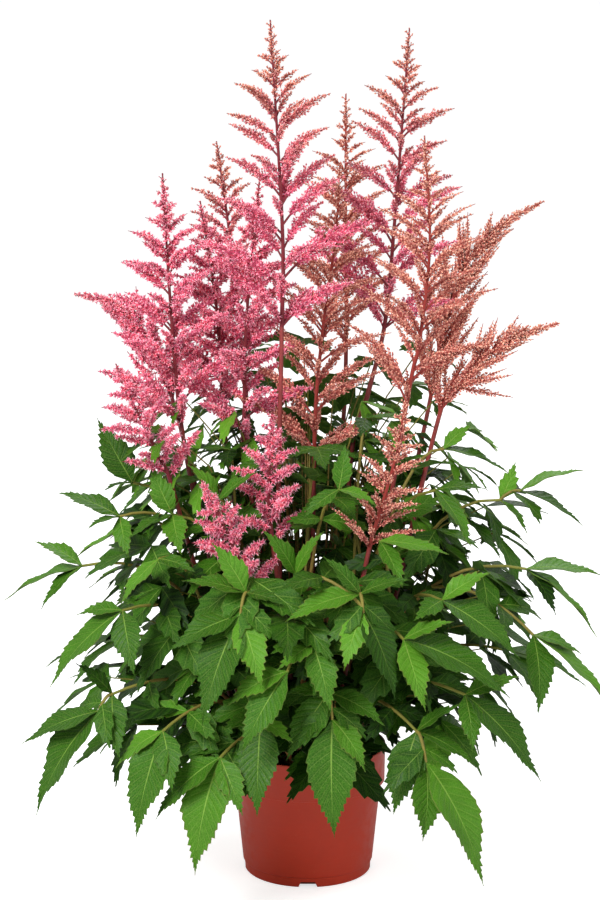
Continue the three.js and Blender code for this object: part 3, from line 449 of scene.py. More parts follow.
class Stock:
    """Points, triangles and named point values, gathered into one mesh."""

    def __init__(self, *value_names: str) -> None:
        """Args: value_names are the point values that every part of the mesh carries."""
        self._points: list[Array] = []
        self._triangles: list[Array] = []
        self._values: dict[str, list[Array]] = {name: [] for name in value_names}
        self._count = 0

    def add(self, points: Array, triangles: Array, **values: float | Array) -> None:
        """Adds one part.

        Args:
            points: Its points, in millimetres.
            triangles: Its triangles, which index those points.
            **values: A number, or an array with a value for each point, for every point value.
        """
        self._points.append(points)
        self._triangles.append(triangles + self._count)
        for name, held in self._values.items():
            given = np.asarray(values[name], float)
            shape = (len(points), given.shape[-1]) if given.ndim == 2 else (len(points),)
            held.append(np.broadcast_to(given, shape))
        self._count += len(points)

    def scatter(self, pattern: Pattern, places: Array, axes: Array, turns: Array, sizes: Array,
                **values: Array) -> None:
        """Adds many copies of a pattern.

        Args:
            pattern: What is copied. Its own +Z goes along the axis.
            places: Where each copy's origin goes.
            axes: Unit direction of each copy.
            turns: How far each copy is turned about its axis, in radians.
            sizes: Three scales for each copy.
            **values: An array of shape (copies,) or (copies, points) for every point value.
        """
        count, size = len(places), len(pattern.points)
        if count == 0:
            return
        helper = np.where(np.abs(axes[:, 2:3]) < STRAIGHT, UP, [1.0, 0.0, 0.0])
        east = unit(np.cross(helper, axes))
        north = np.cross(axes, east)
        cos, sin = np.cos(turns)[:, None], np.sin(turns)[:, None]
        frame = np.stack([east * cos + north * sin, north * cos - east * sin, axes], axis=1)
        scaled = pattern.points[None] * sizes[:, None, :]
        points = np.einsum("cpi,cij->cpj", scaled, frame) + places[:, None]
        triangles = pattern.triangles[None] + (np.arange(count) * size)[:, None, None]
        flat = {}
        for name, given in values.items():
            given = np.asarray(given, float)
            given = given if given.ndim == 2 else given[:, None]
            flat[name] = np.broadcast_to(given, (count, size)).reshape(-1)
        self.add(points.reshape(-1, 3), triangles.reshape(-1, 3), **flat)

    def tube(self, path: Array, radii: Array | float, sides: int, **values: float | Array) -> None:
        """Adds a closed round tube.

        Args:
            path: Points along its middle.
            radii: Its radius at each of them.
            sides: Number of its sides.
            **values: For every point value, a number, a row of one vector, or a value for each path point.
        """
        steps = len(path)
        along = unit(np.gradient(path, axis=0))
        helper = np.eye(3)[int(np.argmin(np.abs(path[-1] - path[0])))]
        across = unit(np.cross(along, helper))
        out = np.cross(across, along)
        angles = np.arange(sides) * FULL_TURN / sides
        spokes = np.cos(angles)[:, None] * out[:, None] + np.sin(angles)[:, None] * across[:, None]
        rings = path[:, None] + spokes * np.broadcast_to(radii, steps)[:, None, None]
        points = np.vstack([rings.reshape(-1, 3), path[:1], path[-1:]])
        low = (np.arange(steps - 1) * sides)[:, None] + np.arange(sides)
        turned = (np.arange(steps - 1) * sides)[:, None] + (np.arange(sides) + 1) % sides
        corners = [low, turned, turned + sides, low, turned + sides, low + sides]
        walls = np.stack(corners, axis=-1).reshape(-1, 3)
        side, following = np.arange(sides), (np.arange(sides) + 1) % sides
        start, end = steps * sides, steps * sides + 1
        last = (steps - 1) * sides
        foot = np.stack([np.full(sides, start), following, side], axis=-1)
        head = np.stack([np.full(sides, end), last + side, last + following], axis=-1)
        spread = {}
        for name, given in values.items():
            given = np.asarray(given, float)
            if given.shape == (steps,):
                given = np.concatenate([np.repeat(given, sides), given[:1], given[-1:]])
            spread[name] = given
        self.add(points, np.vstack([walls, foot, head]), **spread)

    def finish(self, name: str, sharp_angle: float | None) -> Object:
        """Writes the gathered mesh as a Blender object.

        Args:
            name: The object's name.
            sharp_angle: Angle over which an edge stays sharp, in degrees, or None for flat faces.

        Returns:
            The object, linked to the scene at the origin.
        """
        triangles = np.concatenate(self._triangles).astype(np.int32)
        points = (np.concatenate(self._points) * MM).astype(np.float32)
        mesh = bpy.data.meshes.new(name)
        mesh.vertices.add(len(points))
        mesh.vertices.foreach_set("co", points.ravel())
        mesh.loops.add(triangles.size)
        mesh.loops.foreach_set("vertex_index", triangles.ravel())
        mesh.polygons.add(len(triangles))
        mesh.polygons.foreach_set("loop_start", np.arange(0, triangles.size, 3, dtype=np.int32))
        mesh.update(calc_edges=True)
        mesh.polygons.foreach_set("use_smooth", np.full(len(triangles), sharp_angle is not None))
        if sharp_angle is not None:
            mesh.set_sharp_from_angle(angle=math.radians(sharp_angle))
        for value_name, held in self._values.items():
            data = np.concatenate(held).astype(np.float32)
            kind, key = ("FLOAT_VECTOR", "vector") if data.ndim == 2 else ("FLOAT", "value")
            attribute = mesh.attributes.new(value_name, kind, "POINT")
            attribute.data.foreach_set(key, data.ravel())
        obj = bpy.data.objects.new(name, mesh)
        bpy.context.scene.collection.objects.link(obj)
        return obj


def settle(obj: Object, slot: str, material: bpy.types.Material, *nodes: str) -> None:
    """Gives a finished piece its material, its body and the CAD nodes that it stands for.

    Args:
        obj: The piece.
        slot: The record's material slot. Not used.
        material: Its finish.
        *nodes: CAD nodes that it replaces.
    """
    obj.data.materials.clear()
    obj.data.materials.append(material)
    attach(obj, BODY)
    if nodes:
        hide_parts(*nodes)
    log.info("%s: %d faces", obj.name, len(obj.data.polygons))


# ---- modelling by hand


def lone_active() -> Object:
    """The active object, with nothing else selected."""
    obj = bpy.context.view_layer.objects.active
    bpy.ops.object.select_all(action="DESELECT")
    obj.select_set(True)
    return obj


def looks_up(place: Vector, normal: Vector) -> bool:
    """True for a face that looks straight up."""
    return normal.z > STRAIGHT


def looks_down(place: Vector, normal: Vector) -> bool:
    """True for a face that looks straight down."""
    return normal.z < -STRAIGHT


def select_faces(obj: Object, test: Callable[[Vector, Vector], bool]) -> None:
    """Selects in edit mode the faces whose middle and normal pass a test.

    Args:
        obj: The object in edit mode.
        test: Takes a face's middle and its normal, and says whether it is selected.
    """
    bpy.ops.mesh.select_mode(type="FACE")
    bpy.ops.mesh.select_all(action="DESELECT")
    mesh = bmesh.from_edit_mesh(obj.data)
    for face in mesh.faces:
        face.select_set(test(face.calc_center_median(), face.normal))
    mesh.select_flush_mode()
    bmesh.update_edit_mesh(obj.data)


def apply_modifier(obj: Object, kind: str, **settings: object) -> None:
    """Adds a modifier and applies it.

    Args:
        obj: The active object, in object mode.
        kind: The modifier's type.
        **settings: Its settings.
    """
    modifier = obj.modifiers.new(kind.lower(), kind)
    for name, value in settings.items():
        setattr(modifier, name, value)
    bpy.ops.object.modifier_apply(modifier=modifier.name)


@dataclass(frozen=True)
class Spindle:
    """A cone with a pointed foot, whose faces can be drawn out to petals. It is one unit long.

    Attributes:
        sides: Number of its sides.
        radius: Radius of its waist.
        waist: Height of its waist.
        top: Height of its tip.
        petal: How far the upper faces are drawn out.
        stamen: How far the lower faces are drawn out.
    """

    sides: int
    radius: float
    waist: float
    top: float
    petal: float = 0.0
    stamen: float = 0.0

    def model(self) -> Pattern:
        """Models the shape.

        Returns:
            The shape, with its foot at the origin.
        """
        bpy.ops.mesh.primitive_cone_add(
            vertices=self.sides, radius1=self.radius, depth=self.top - self.waist,
            location=(0, 0, (self.top + self.waist) / 2),
        )
        obj = lone_active()
        bpy.ops.object.transform_apply()
        bpy.ops.object.mode_set(mode="EDIT")
        select_faces(obj, looks_down)
        bpy.ops.mesh.poke(offset=self.waist)
        for drawn, lower in ((self.petal, False), (self.stamen, True)):
            if drawn:
                select_faces(obj, lambda place, normal: (place.z < self.waist) == lower)
                bpy.ops.mesh.poke(offset=drawn)
        bpy.ops.object.mode_set(mode="OBJECT")
        return Pattern.take(obj)


class Floret(Enum):
    """The few shapes that every floret is a copy of."""

    BUD = Spindle(3, 0.36, 0.42, 1.0)
    CUP = Spindle(4, 0.3, 0.34, 0.62, petal=0.55)
    STAR = Spindle(5, 0.15, 0.2, 0.46, petal=0.84)
    BURST = Spindle(5, 0.16, 0.24, 0.48, petal=0.9, stamen=0.5)


def twig_pattern() -> Pattern:
    """A three-sided twig, one unit long and one unit in radius at its foot.

    Returns:
        The twig, with its foot at the origin.
    """
    bpy.ops.mesh.primitive_cone_add(vertices=3, radius1=1, depth=1, location=(0, 0, 0.5))
    obj = lone_active()
    bpy.ops.object.transform_apply()
    return Pattern.take(obj)


@dataclass(frozen=True)
class BladeSheet:
    """The flat sheet that a leaflet is bent from, in shares of the leaflet's own length and width.

    Attributes:
        across: Place across, from -1 at one edge to 1 at the other.
        row: Number of the cross row, from the base.
        face: 1 on the upper face and -1 on the lower one.
        triangles: The sheet's closed surface.
    """

    across: Array
    row: Array
    face: Array
    triangles: Array

    @classmethod
    def model(cls, rows: int, columns: int) -> "BladeSheet":
        """Models the sheet as a grid that is given a thickness.

        Args:
            rows: Number of cross rows.
            columns: Number of faces across.

        Returns:
            The sheet.
        """
        bpy.ops.mesh.primitive_grid_add(x_subdivisions=columns, y_subdivisions=rows - 1, size=2)
        obj = lone_active()
        apply_modifier(obj, "SOLIDIFY", thickness=0.1, offset=0)
        flat = Pattern.take(obj)
        x, y, z = flat.points.T
        row = np.rint((y + 1) / 2 * (rows - 1)).astype(int)
        return cls(x, row, np.sign(z), flat.triangles)


# ---- leaflets


@dataclass(frozen=True)
class BladeFrame:
    """Where a blade lies: its base, and its directions along, across and off its upper face."""

    base: Array
    along: Array
    side: Array
    normal: Array

    def place(self, ahead: Array, aside: Array, above: Array) -> Array:
        """Points that far ahead of the base, aside of the midrib and above it."""
        offset = self.base + self.along * ahead[:, None] + self.side * aside[:, None]
        return offset + self.normal * above[:, None]


@dataclass
class Leaflets:
    """Toothed leaflets, each a thin blade with veins that stand in rows and end in its teeth."""

    width_share: float = 0.43
    widest: float = 0.36
    fall: float = 1.7
    foot_half: float = 0.8
    tip_half: float = 0.16
    foot_length: float = 0.05
    opening: Range = (0.6, 1.6)
    outward: float = 0.5
    arch: float = 0.07
    fold: float = 0.16
    folds: Range = (0.7, 1.35)
    sway: float = 0.016
    roll: float = 0.1
    waves: Range = (1.6, 2.6)
    wave_height: float = 0.018
    wave_ease: float = 1.5
    tooth_pitch: float = 6.4
    fewest_teeth: int = 5
    most_teeth: int = 15
    tooth_depth: float = 1.15
    tooth_share: float = 0.12
    minor_tooth: float = 0.55
    tooth_forward: float = 0.5
    vein_slope: float = 0.72
    pucker: float = 0.4
    pucker_width: float = 6
    half_thickness: float = 0.22
    rib_radius: float = 0.62
    rib_foot: float = 1.15
    rib_end: float = 0.9
    rib_steps: int = 7
    rib_stalk: float = 0.7
    tone: Range = (0.5, 0.2)
    # painted shade: how far the tone is lowered for each unit of shade
    painted_shade_drop: float = 0.55
    pair_ahead: Range = (0.2, 0.7)
    pair_rise: Range = (-0.75, 0)
    pair_size: Range = (0.75, 1.2)
    columns: int = 4
    _sheets: dict[int, BladeSheet] = field(default_factory=dict)

    edge_from = 0.99
    tip_from = 0.98
    no_blade = np.array([[0.0, 0.0, 0.5]])

    value_names = ("blade_place", "blade_under", "leaf_tone", "leaf_stalk", "leaf_climb")

    def normal(self, base: Array, tip: Array) -> Array:
        """The way the upper face looks: up and out from the plant, square to the blade.

        Args:
            base: Where the blade starts.
            tip: Where it ends.

        Returns:
            The unit normal.
        """
        along = unit(tip - base)
        outward = unit(np.array([tip[0], tip[1], 0.0]))
        facing = UP + self.outward * outward
        return unit(facing - along * facing.dot(along))

    def add(self, stock: Stock, base: Array, tip: Array, rng: Rng, shade: float = 0.0) -> None:
        """Adds one leaflet, with its midrib if it has a thick one.

        Args:
            stock: What it is added to.
            base: Where it is joined to its stalk.
            tip: Where it ends.
            rng: Source of its small differences.
            shade: How much painted shade darkens it against the outer leaves; below 0 it is painted
                lighter.
        """
        length = float(np.linalg.norm(tip - base))
        teeth = int(np.clip(round(length / self.tooth_pitch), self.fewest_teeth, self.most_teeth))
        sheet = self._sheet(2 * teeth + 3)
        run = (1 - self.foot_length) / (teeth + 0.5)
        shares = np.concatenate([
            [0, self.foot_length], self.foot_length + run * (0.5 + np.arange(2 * teeth) / 2), [1],
        ])
        is_tip = np.concatenate([[0, 0], np.tile([1, 0], teeth), [0]])
        sizes = np.where(np.arange(teeth) % 2, self.minor_tooth, 1)
        size = np.concatenate([[0, 0], np.repeat(sizes, 2), [0]])
        along, normal = unit(tip - base), self.normal(base, tip)
        frame = BladeFrame(base, along, np.cross(along, normal), normal)
        row, across = sheet.row, np.abs(sheet.across)
        edge = across > self.edge_from
        ground = shares[row]
        slant = ground + self.vein_slope * across * ground * (1 - ground)
        ahead = edge * is_tip[row] * size[row] * self.tooth_forward * run * (ground < self.tip_from)
        share = slant + ahead
        half = self._half_width(ground + self.vein_slope * ground * (1 - ground), length)
        tooth = edge * size[row] * np.minimum(self.tooth_depth, half * self.tooth_share * 2)
        reach = across * half + np.where(is_tip[row] > 0, tooth, -tooth)
        sway = rng.normal(0, self.sway) * length
        roll = rng.normal(0, self.roll)
        fold = self.fold * rng.uniform(*self.folds)
        wave_phase, wave_count = rng.uniform(0, FULL_TURN), rng.uniform(*self.waves)
        offside = np.sign(sheet.across) * reach
        curve = 4 * share * (1 - share)
        wave = np.sin(wave_phase + share * wave_count * FULL_TURN)
        ripple = across**2 * wave * self.wave_height * length
        ripple = ripple * np.minimum(curve * self.wave_ease, 1)
        raised = np.where(is_tip[row] > 0, -1, 1) * self.pucker * 4 * across * (1 - across)
        raised = raised * np.minimum(reach / self.pucker_width, 1) * (row > 1)
        height = self.arch * length * curve + fold * reach + ripple + raised + roll * offside * curve
        height = height + sheet.face * self.half_thickness
        points = frame.place(share * length, offside + sway * curve, height)
        place = np.stack([share, sheet.across, (ground - self.foot_length) / run - 0.5], axis=-1)
        # painted shade: the random tone is lowered by the leaflet's shade, or raised where that is below 0
        tone = float(np.clip(rng.normal(*self.tone) - self.painted_shade_drop * shade, 0, 1))
        stock.add(points, sheet.triangles, blade_place=place, blade_under=(sheet.face < 0) * 1.0,
                  leaf_tone=tone, leaf_stalk=0.0, leaf_climb=1.0)
        if self.rib_radius:
            self._add_midrib(stock, frame, length, sway, tone)

    def _sheet(self, rows: int) -> BladeSheet:
        """The sheet with a number of cross rows, which is modelled the first time."""
        if rows not in self._sheets:
            self._sheets[rows] = BladeSheet.model(rows, self.columns)
        return self._sheets[rows]

    def _half_width(self, share: Array, length: float) -> Array:
        """Half width of a blade at shares of its length."""
        body = np.maximum(share, 1e-6) / self.widest
        taper = np.maximum(1 - share, 1e-6) / (1 - self.widest)
        rise = self.fall * self.widest / (1 - self.widest)
        grown = 0.5 * length * self.width_share * body**rise * taper**self.fall
        opens_at, opens_over = (self.foot_length * part for part in self.opening)
        opened = np.clip((share - opens_at) / opens_over, 0, 1)
        return np.maximum(grown * opened, self.tip_half + (self.foot_half - self.tip_half) * (1 - share))

    def _add_midrib(self, stock: Stock, frame: BladeFrame, length: float, sway: float,
                    tone: float) -> None:
        """Adds the rib that runs under the middle of a blade.

        Args:
            stock: What it is added to.
            frame: Where the blade lies.
            length: The blade's length.
            sway: How far its middle is bent aside.
            tone: Its tone.
        """
        share = np.linspace(0, self.rib_end, self.rib_steps)
        curve = 4 * share * (1 - share)
        path = frame.place(share * length, sway * curve, self.arch * length * curve - self.half_thickness)
        self.add_stalk(stock, path, self.rib_radius * (self.rib_foot - share), tone, 1.0, sides=5,
                       stalk=self.rib_stalk)

    def add_stalk(self, stock: Stock, path: Array, radii: Array, tone: float, climb: float | Array,
                  sides: int = 8, stalk: float = 1.0) -> None:
        """Adds a stalk.

        Args:
            stock: What it is added to.
            path: Points along its middle.
            radii: Its radius at each of them.
            tone: The leaf's tone, with its painted shade where it has one.
            climb: How far up the leaf each of them is, from 0 at the soil to 1 at the blades.
            sides: Number of its sides.
            stalk: How much of a stalk's colour it has, from 0 to 1.
        """
        stock.tube(path, radii, sides, blade_place=self.no_blade, blade_under=0.0, leaf_tone=tone,
                   leaf_stalk=stalk, leaf_climb=climb)

    def add_pair(self, stock: Stock, line: Line, place: float, length: float, rng: Rng,
                 shade: float) -> None:
        """Adds two leaflets across from each other on a stalk.

        Args:
            stock: What they are added to.
            line: The stalk's line.
            place: Where on it, as a share of its length.
            length: Their length, give or take a little.
            rng: Source of their small differences.
            shade: How much painted shade darkens them against the outer leaves; below 0 they are painted
                lighter.
        """
        base, along = line.at(place), line.direction(place)
        level = unit(np.cross(along, UP))
        for hand in (-1, 1):
            ahead, rise = rng.uniform(*self.pair_ahead), rng.uniform(*self.pair_rise)
            heading = unit(level * hand + along * ahead + UP * rise)
            self.add(stock, base, base + heading * length * rng.uniform(*self.pair_size), rng, shade)


@dataclass(frozen=True)
class Bend:
    """How a piece was bent to clear its neighbours.

    Attributes:
        first: Bend up of a leaflet, bow aside of a stalk, or turn in degrees of a side branch.
        second: Bend across of a leaflet, bow up of a stalk, or rise over reach of a side branch.
        share: How much of its length is left.
    """

    first: float
    second: float
    share: float = 1.0


@dataclass
class Foliage:
    """The compound leaves, each one piece: stalks, the leaflets of its hubs and smaller ones between."""

    blades: Leaflets
    back_blades: Leaflets
    small_blades: Leaflets
    finish: bpy.types.Material
    soil_level: float = 111
    foot_depth: float = 17
    foot_radius: float = 2.3
    hub_radius: float = 1.7
    knee_out: float = 0.24
    knee_climb: float = 0.86
    knee_lift: float = 0.3
    fork_lift: float = 0.12
    feet_apart: float = 8.5
    feet_radius: float = 50
    feet_step: float = 3
    foot_turns: Row = (0, 0.12, -0.12, 0.24, -0.24, 0.38, -0.38, 0.52, -0.52)
    fork_knee: float = 0.5
    hub_taper: float = 0.8
    fork_climb: float = 0.85
    climbing_points: int = 17
    level_points: int = 9
    stalk_steps: int = 4
    fork_steps: int = 2
    bend_step: float = 0.12
    bend_shares: Row = (1, 0.85, 0.7)
    bow_asides: Row = (0, 8, -8, 16, -16, 26, -26, 38, -38)
    bow_lifts: Row = (0, 14, -14, 30)
    pair_shares: Row = (0.62, 0.84)
    pair_length: float = 52
    # painted shade: the small leaflets along the stalks and those of the inner divisions are painted
    # darker
    pair_painted_shade: float = 0.3
    inner_painted_shade: float = 0.25
    tones: Range = (0.3, 0.7)
    seed: int = 41

    def __post_init__(self) -> None:
        """Lists the bends that the CAD chose from, in its order."""
        moves = [
            (0, 0), (1, 0), (-1, 0), (2, 0), (-2, 0), (1, 1), (1, -1), (-1, 1), (-1, -1), (3, 0), (-3, 0),
            (0, 1.5), (0, -1.5), (2, 1.5), (2, -1.5), (-2, 1.5), (-2, -1.5), (4, 0), (-4, 0), (3, 2),
            (3, -2), (-3, 2), (-3, -2),
        ]
        steps = [(up * self.bend_step, over * self.bend_step) for up, over in moves]
        self._bends = [Bend(up, over, share) for share in self.bend_shares for up, over in steps]
        self._bows = [Bend(aside, lift) for aside in self.bow_asides for lift in self.bow_lifts]

    def build(self, nodes: dict[str, Object], flower_feet: list[Array]) -> None:
        """Builds every leaf.

        Args:
            nodes: The CAD nodes by name.
            flower_feet: Where the flower stems stand in the soil.
        """
        feet = list(flower_feet)
        for number, outer in enumerate([*FRONT_LEAVES, *BackLeafRule().leaves()], start=1):
            name = f"leaf_{number:02d}"
            stock = Stock(*self.blades.value_names)
            rng = np.random.default_rng(self.seed + number)
            blades = self.blades if number <= len(FRONT_LEAVES) else self.back_blades
            self._grow(stock, InnerRule().added(outer), blades, NodePoints(nodes[name]), feet, rng)
            piece = stock.finish(f"compound_{name}", sharp_angle=SHARP_ANGLE)
            settle(piece, "leaf", self.finish, name)

    def _grow(self, stock: Stock, divisions: tuple[Division, ...], blades: Leaflets, points: NodePoints,
              feet: list[Array], rng: Rng) -> None:
        """Adds one leaf.

        Args:
            stock: What it is added to.
            divisions: Its divisions.
            blades: Makes the leaflets on its hubs.
            points: The vertices of its CAD node.
            feet: Where stems and stalks stand already. This leaf's foot is added.
            rng: Source of its small differences.
        """
        tone = float(rng.uniform(*self.tones))
        start = self._foot(np.array(divisions[0].hub, float), feet)
        feet.append(start)
        grown: list[tuple[Line, int]] = []
        for division in divisions:
            hub = np.array(division.hub, float)
            first = not grown
            if first:
                origin = chord_origin = start
            else:
                parent, steps = grown[0 if division.inner else -1]
                chord_origin = parent.on_chords(division.start, 0, 1, steps)
                origin = parent.at(division.start)
            climbs = first or division.inner
            lines = [self._stalk_line(chord_origin, hub, climbs, bow) for bow in self._bows]
            foot_radius = self.foot_radius if first else self.hub_radius
            marks = [self._stalk_mark(line, chord_origin, hub, (foot_radius + self.hub_radius) / 2)
                     for line in lines]
            bow = self._bows[points.nearest_choice(marks)]
            line = self._stalk_line(origin, hub, climbs, bow)
            share = np.linspace(0, 1, self.climbing_points if climbs else self.level_points)
            radii = foot_radius + (self.hub_radius * self.hub_taper - foot_radius) * share
            self.blades.add_stalk(stock, line.at(share), radii, tone, share if first else self.fork_climb)
            for place in self.pair_shares if climbs else self.pair_shares[:1]:
                self.small_blades.add_pair(stock, line, place, self.pair_length, rng, self.pair_painted_shade)
            for tip in division.tips:
                ends = [self._bent_tip(hub, np.array(tip, float), bend) for bend in self._bends]
                tip_end = ends[points.nearest_choice(ends)]
                blades.add(stock, hub, tip_end, rng, self.inner_painted_shade * division.inner)
            grown.append((line, self.stalk_steps if first else self.fork_steps))

    def _foot(self, hub: Array, feet: list[Array]) -> Array:
        """The spot in the soil for a leaf's foot: towards its first hub, apart from the others.

        Args:
            hub: The leaf's first hub.
            feet: Where stems and stalks stand already.

        Returns:
            The spot.
        """
        azimuth = math.atan2(hub[1], hub[0])
        radius = self.feet_radius
        while True:
            for turn in self.foot_turns:
                x, y = radius * math.cos(azimuth + turn), radius * math.sin(azimuth + turn)
                if all(math.hypot(foot[0] - x, foot[1] - y) >= self.feet_apart for foot in feet):
                    return np.array([x, y, self.soil_level - self.foot_depth])
            radius -= self.feet_step

    def _stalk_line(self, start: Array, hub: Array, climbs: bool, bow: Bend) -> Line:
        """The line of a division's stalk.

        Args:
            start: Where it starts.
            hub: Where it ends.
            climbs: True for one that climbs from its start and then arches over.
            bow: How far it is bowed aside and up.

        Returns:
            The line.
        """
        outward = np.array([hub[0] - start[0], hub[1] - start[1], 0.0])
        run = float(np.linalg.norm(outward))
        knee = start + outward * (self.knee_out if climbs else self.fork_knee)
        if climbs:
            knee[2] = start[2] + self.knee_climb * (hub[2] - start[2]) + self.knee_lift * run
        else:
            knee[2] = max(start[2], hub[2]) + self.fork_lift * run
        knee = knee + self._stalk_side(start, hub) * bow.first + UP * bow.second
        return BowedLine(start, knee, hub)

    @staticmethod
    def _stalk_side(start: Array, hub: Array) -> Array:
        """The level direction across a stalk."""
        return unit(np.cross([hub[0] - start[0], hub[1] - start[1], 0.0], UP))

    def _stalk_mark(self, line: Line, start: Array, hub: Array, radius: float) -> Array:
        """A vertex of the CAD stalk halfway along a line."""
        along = line.direction(0.5)
        side = self._stalk_side(start, hub)
        return line.at(0.5) + radius * unit(side - along * side.dot(along))

    def _bent_tip(self, hub: Array, tip: Array, bend: Bend) -> Array:
        """Where a leaflet ends once it is bent off its first direction.

        Args:
            hub: Where it starts.
            tip: Where it ended.
            bend: How far it is bent up and across, and how much of its length is left.

        Returns:
            Its end.
        """
        length = float(np.linalg.norm(tip - hub))
        along = unit(tip - hub)
        normal = self.blades.normal(hub, tip)
        side = np.cross(normal, along)
        return hub + unit(along + normal * bend.first + side * bend.second) * length * bend.share


@dataclass
class InnerFoliage:
    """Smaller leaves inside the plant, which fill the space between the outer leaves and the stems."""

    blades: Leaflets
    finish: bpy.types.Material
    groups: int = 6
    leaves: int = 102
    crown_leaves: int = 64
    crown_start: float = -25
    crown_sector: float = 230
    sideways: float = 0.15
    lowest: float = 150
    shoulder: float = 330
    highest_in_front: float = 392
    highest_behind: float = 496
    front_drop: float = 62
    inner_radius: float = 42
    outer_radius: float = 196
    crown_radius: float = 110
    depth_share: float = 0.79
    crown_foot: float = 362
    crown_front: float = 476
    crown_top: float = 530
    # painted shade: darkest on the low leaves near the middle, less further out; the crown's is below 0,
    # so its leaves are painted lighter
    low_painted_shade: float = 0.9
    outer_painted_shade: float = 0.3
    crown_painted_shade: float = -0.7
    crown_width: float = 162
    foot_radius: float = 36
    foot_spread: Range = (0.4, 1)
    foot_level: float = 94
    knee_out: float = 0.2
    knee_climb: float = 0.9
    stalk_radius: float = 1.2
    stalk_taper: float = 0.5
    stalk_points: int = 8
    stalk_sides: int = 5
    stalk_tone: float = 0.45
    # how far painted shade darkens the stalks
    stalk_painted_shade: float = 0.4
    pair_shares: Row = (0.62, 0.82)
    pair_size: float = 0.85
    leaflet: float = 67
    least_leaflet: float = 42
    leaflet_size: Range = (0.8, 1.25)
    fan_turn: float = 1.15
    fan_sway: float = 0.2
    fan_rise: Range = (-1.1, -0.1)
    height_step: float = 0.7549
    radius_step: float = 0.5698
    seed: int = 7

    def build(self) -> None:
        """Builds the leaves in groups: those at the sides sector by sector, and then the crown's. The low
        inner ones get painted shade, the crown's painted light.
        """
        rng = np.random.default_rng(self.seed)
        stocks = [Stock(*self.blades.value_names) for _ in range(self.groups)]
        for index in range(self.leaves):
            azimuth = index * GOLDEN_TURN % FULL_TURN
            azimuth -= self.sideways * math.sin(2 * azimuth)
            rise = (self.highest_behind - self.highest_in_front) * max(math.sin(azimuth), 0)
            rise -= self.front_drop * max(-math.sin(azimuth), 0)
            span = self.highest_in_front + rise - self.lowest
            height = self.lowest + span * (index * self.height_step % 1)
            above = max(height - self.shoulder, 0) / (self.highest_behind - self.shoulder)
            widest = self.outer_radius + (self.crown_radius - self.outer_radius) * above
            radius = max(self.inner_radius, widest * math.sqrt(index * self.radius_step % 1))
            group = int(azimuth / FULL_TURN * self.groups) % self.groups
            # painted shade that lessens from the middle outwards
            outness = (radius - self.inner_radius) / (self.outer_radius - self.inner_radius)
            shade = self.low_painted_shade + (self.outer_painted_shade - self.low_painted_shade) * outness
            self._grow(stocks[group], azimuth, radius, height, shade, rng)
        for index in range(self.crown_leaves):
            turned = math.degrees(index * GOLDEN_TURN) % self.crown_sector
            azimuth = math.radians(self.crown_start + turned)
            top = self.crown_front + (self.crown_top - self.crown_front) * max(math.sin(azimuth), 0)
            height = self.crown_foot + (top - self.crown_foot) * (index * self.height_step % 1)
            outness = index * self.radius_step % 1
            radius = self.inner_radius + (self.crown_width - self.inner_radius) * outness
            # painted light: the crown's leaves get a shade below 0
            self._grow(stocks[index % self.groups], azimuth, radius, height, self.crown_painted_shade, rng)
        for number, stock in enumerate(stocks, start=1):
            piece = stock.finish(f"inner_leaves_{number}", sharp_angle=SHARP_ANGLE)
            settle(piece, "leaf", self.finish)

    def _grow(self, stock: Stock, azimuth: float, radius: float, height: float, shade: float,
              rng: Rng) -> None:
        """Adds one inner leaf: a stalk with pairs of leaflets along it and three at its end.

        Args:
            stock: What it is added to.
            azimuth: Its direction from the plant's middle, in radians.
            radius: How far out its hub is.
            height: How high its hub is.
            shade: How much painted shade darkens it against the outer leaves; below 0 it is painted
                lighter.
            rng: Source of its small differences.
        """
        out = np.array([math.cos(azimuth), self.depth_share * math.sin(azimuth), 0.0])
        hub = out * radius + UP * height
        foot = out * self.foot_radius * rng.uniform(*self.foot_spread) + UP * self.foot_level
        knee = foot + out * self.knee_out * radius + UP * (height - self.foot_level) * self.knee_climb
        line = BowedLine(foot, knee, hub)
        share = np.linspace(0, 1, self.stalk_points)
        radii = self.stalk_radius - self.stalk_taper * share
        # painted shade darkens the stalk too, or lightens it in the crown
        tone = self.stalk_tone - self.stalk_painted_shade * shade
        self.blades.add_stalk(stock, line.at(share), radii, tone, share, self.stalk_sides)
        above = min(max(height - self.shoulder, 0) / (self.highest_in_front - self.shoulder), 1)
        leaflet = self.leaflet + (self.least_leaflet - self.leaflet) * above
        for place in self.pair_shares:
            self.blades.add_pair(stock, line, place, leaflet * self.pair_size, rng, shade)
        for hand in (-1, 0, 1):
            turn = azimuth + hand * self.fan_turn + rng.normal(0, self.fan_sway)
            heading = unit(np.array([math.cos(turn), math.sin(turn), rng.uniform(*self.fan_rise)]))
            tip = hub + heading * leaflet * rng.uniform(*self.leaflet_size)
            self.blades.add(stock, hub, tip, rng, shade)


# ---- flowers


@dataclass(frozen=True)
class StemShape:
    """Sizes of the bare flower stems, as in the CAD."""

    foot_radius: float = 2.8
    top_radius: float = 2.1
    tip_radius: float = 0.7
    foot_level: float = 94
    sides: int = 12

    def line(self, plan: FlowerPlan) -> Line:
        """The line of a flower stem, from its foot in the soil to the apex."""
        foot, *rest = plan.line
        return ThroughLine([(*foot, self.foot_level), *rest])


def seeded_draws(seed: int, count: int) -> list[float]:
    """Evenly spread draws from 0 to 1, the same ones as the CAD makes for a seed.

    Args:
        seed: The seed.
        count: How many draws are made.

    Returns:
        The draws.
    """
    mask, state, draws = 0xFFFFFFFF, seed & 0xFFFFFFFF, []
    for _ in range(count):
        state = (state + 0x6D2B79F5) & mask
        mixed = (state ^ (state >> 15)) * (state | 1) & mask
        mixed ^= (mixed + ((mixed ^ (mixed >> 7)) * (mixed | 61) & mask)) & mask
        draws.append(((mixed ^ (mixed >> 14)) & mask) / 4294967296)
    return draws


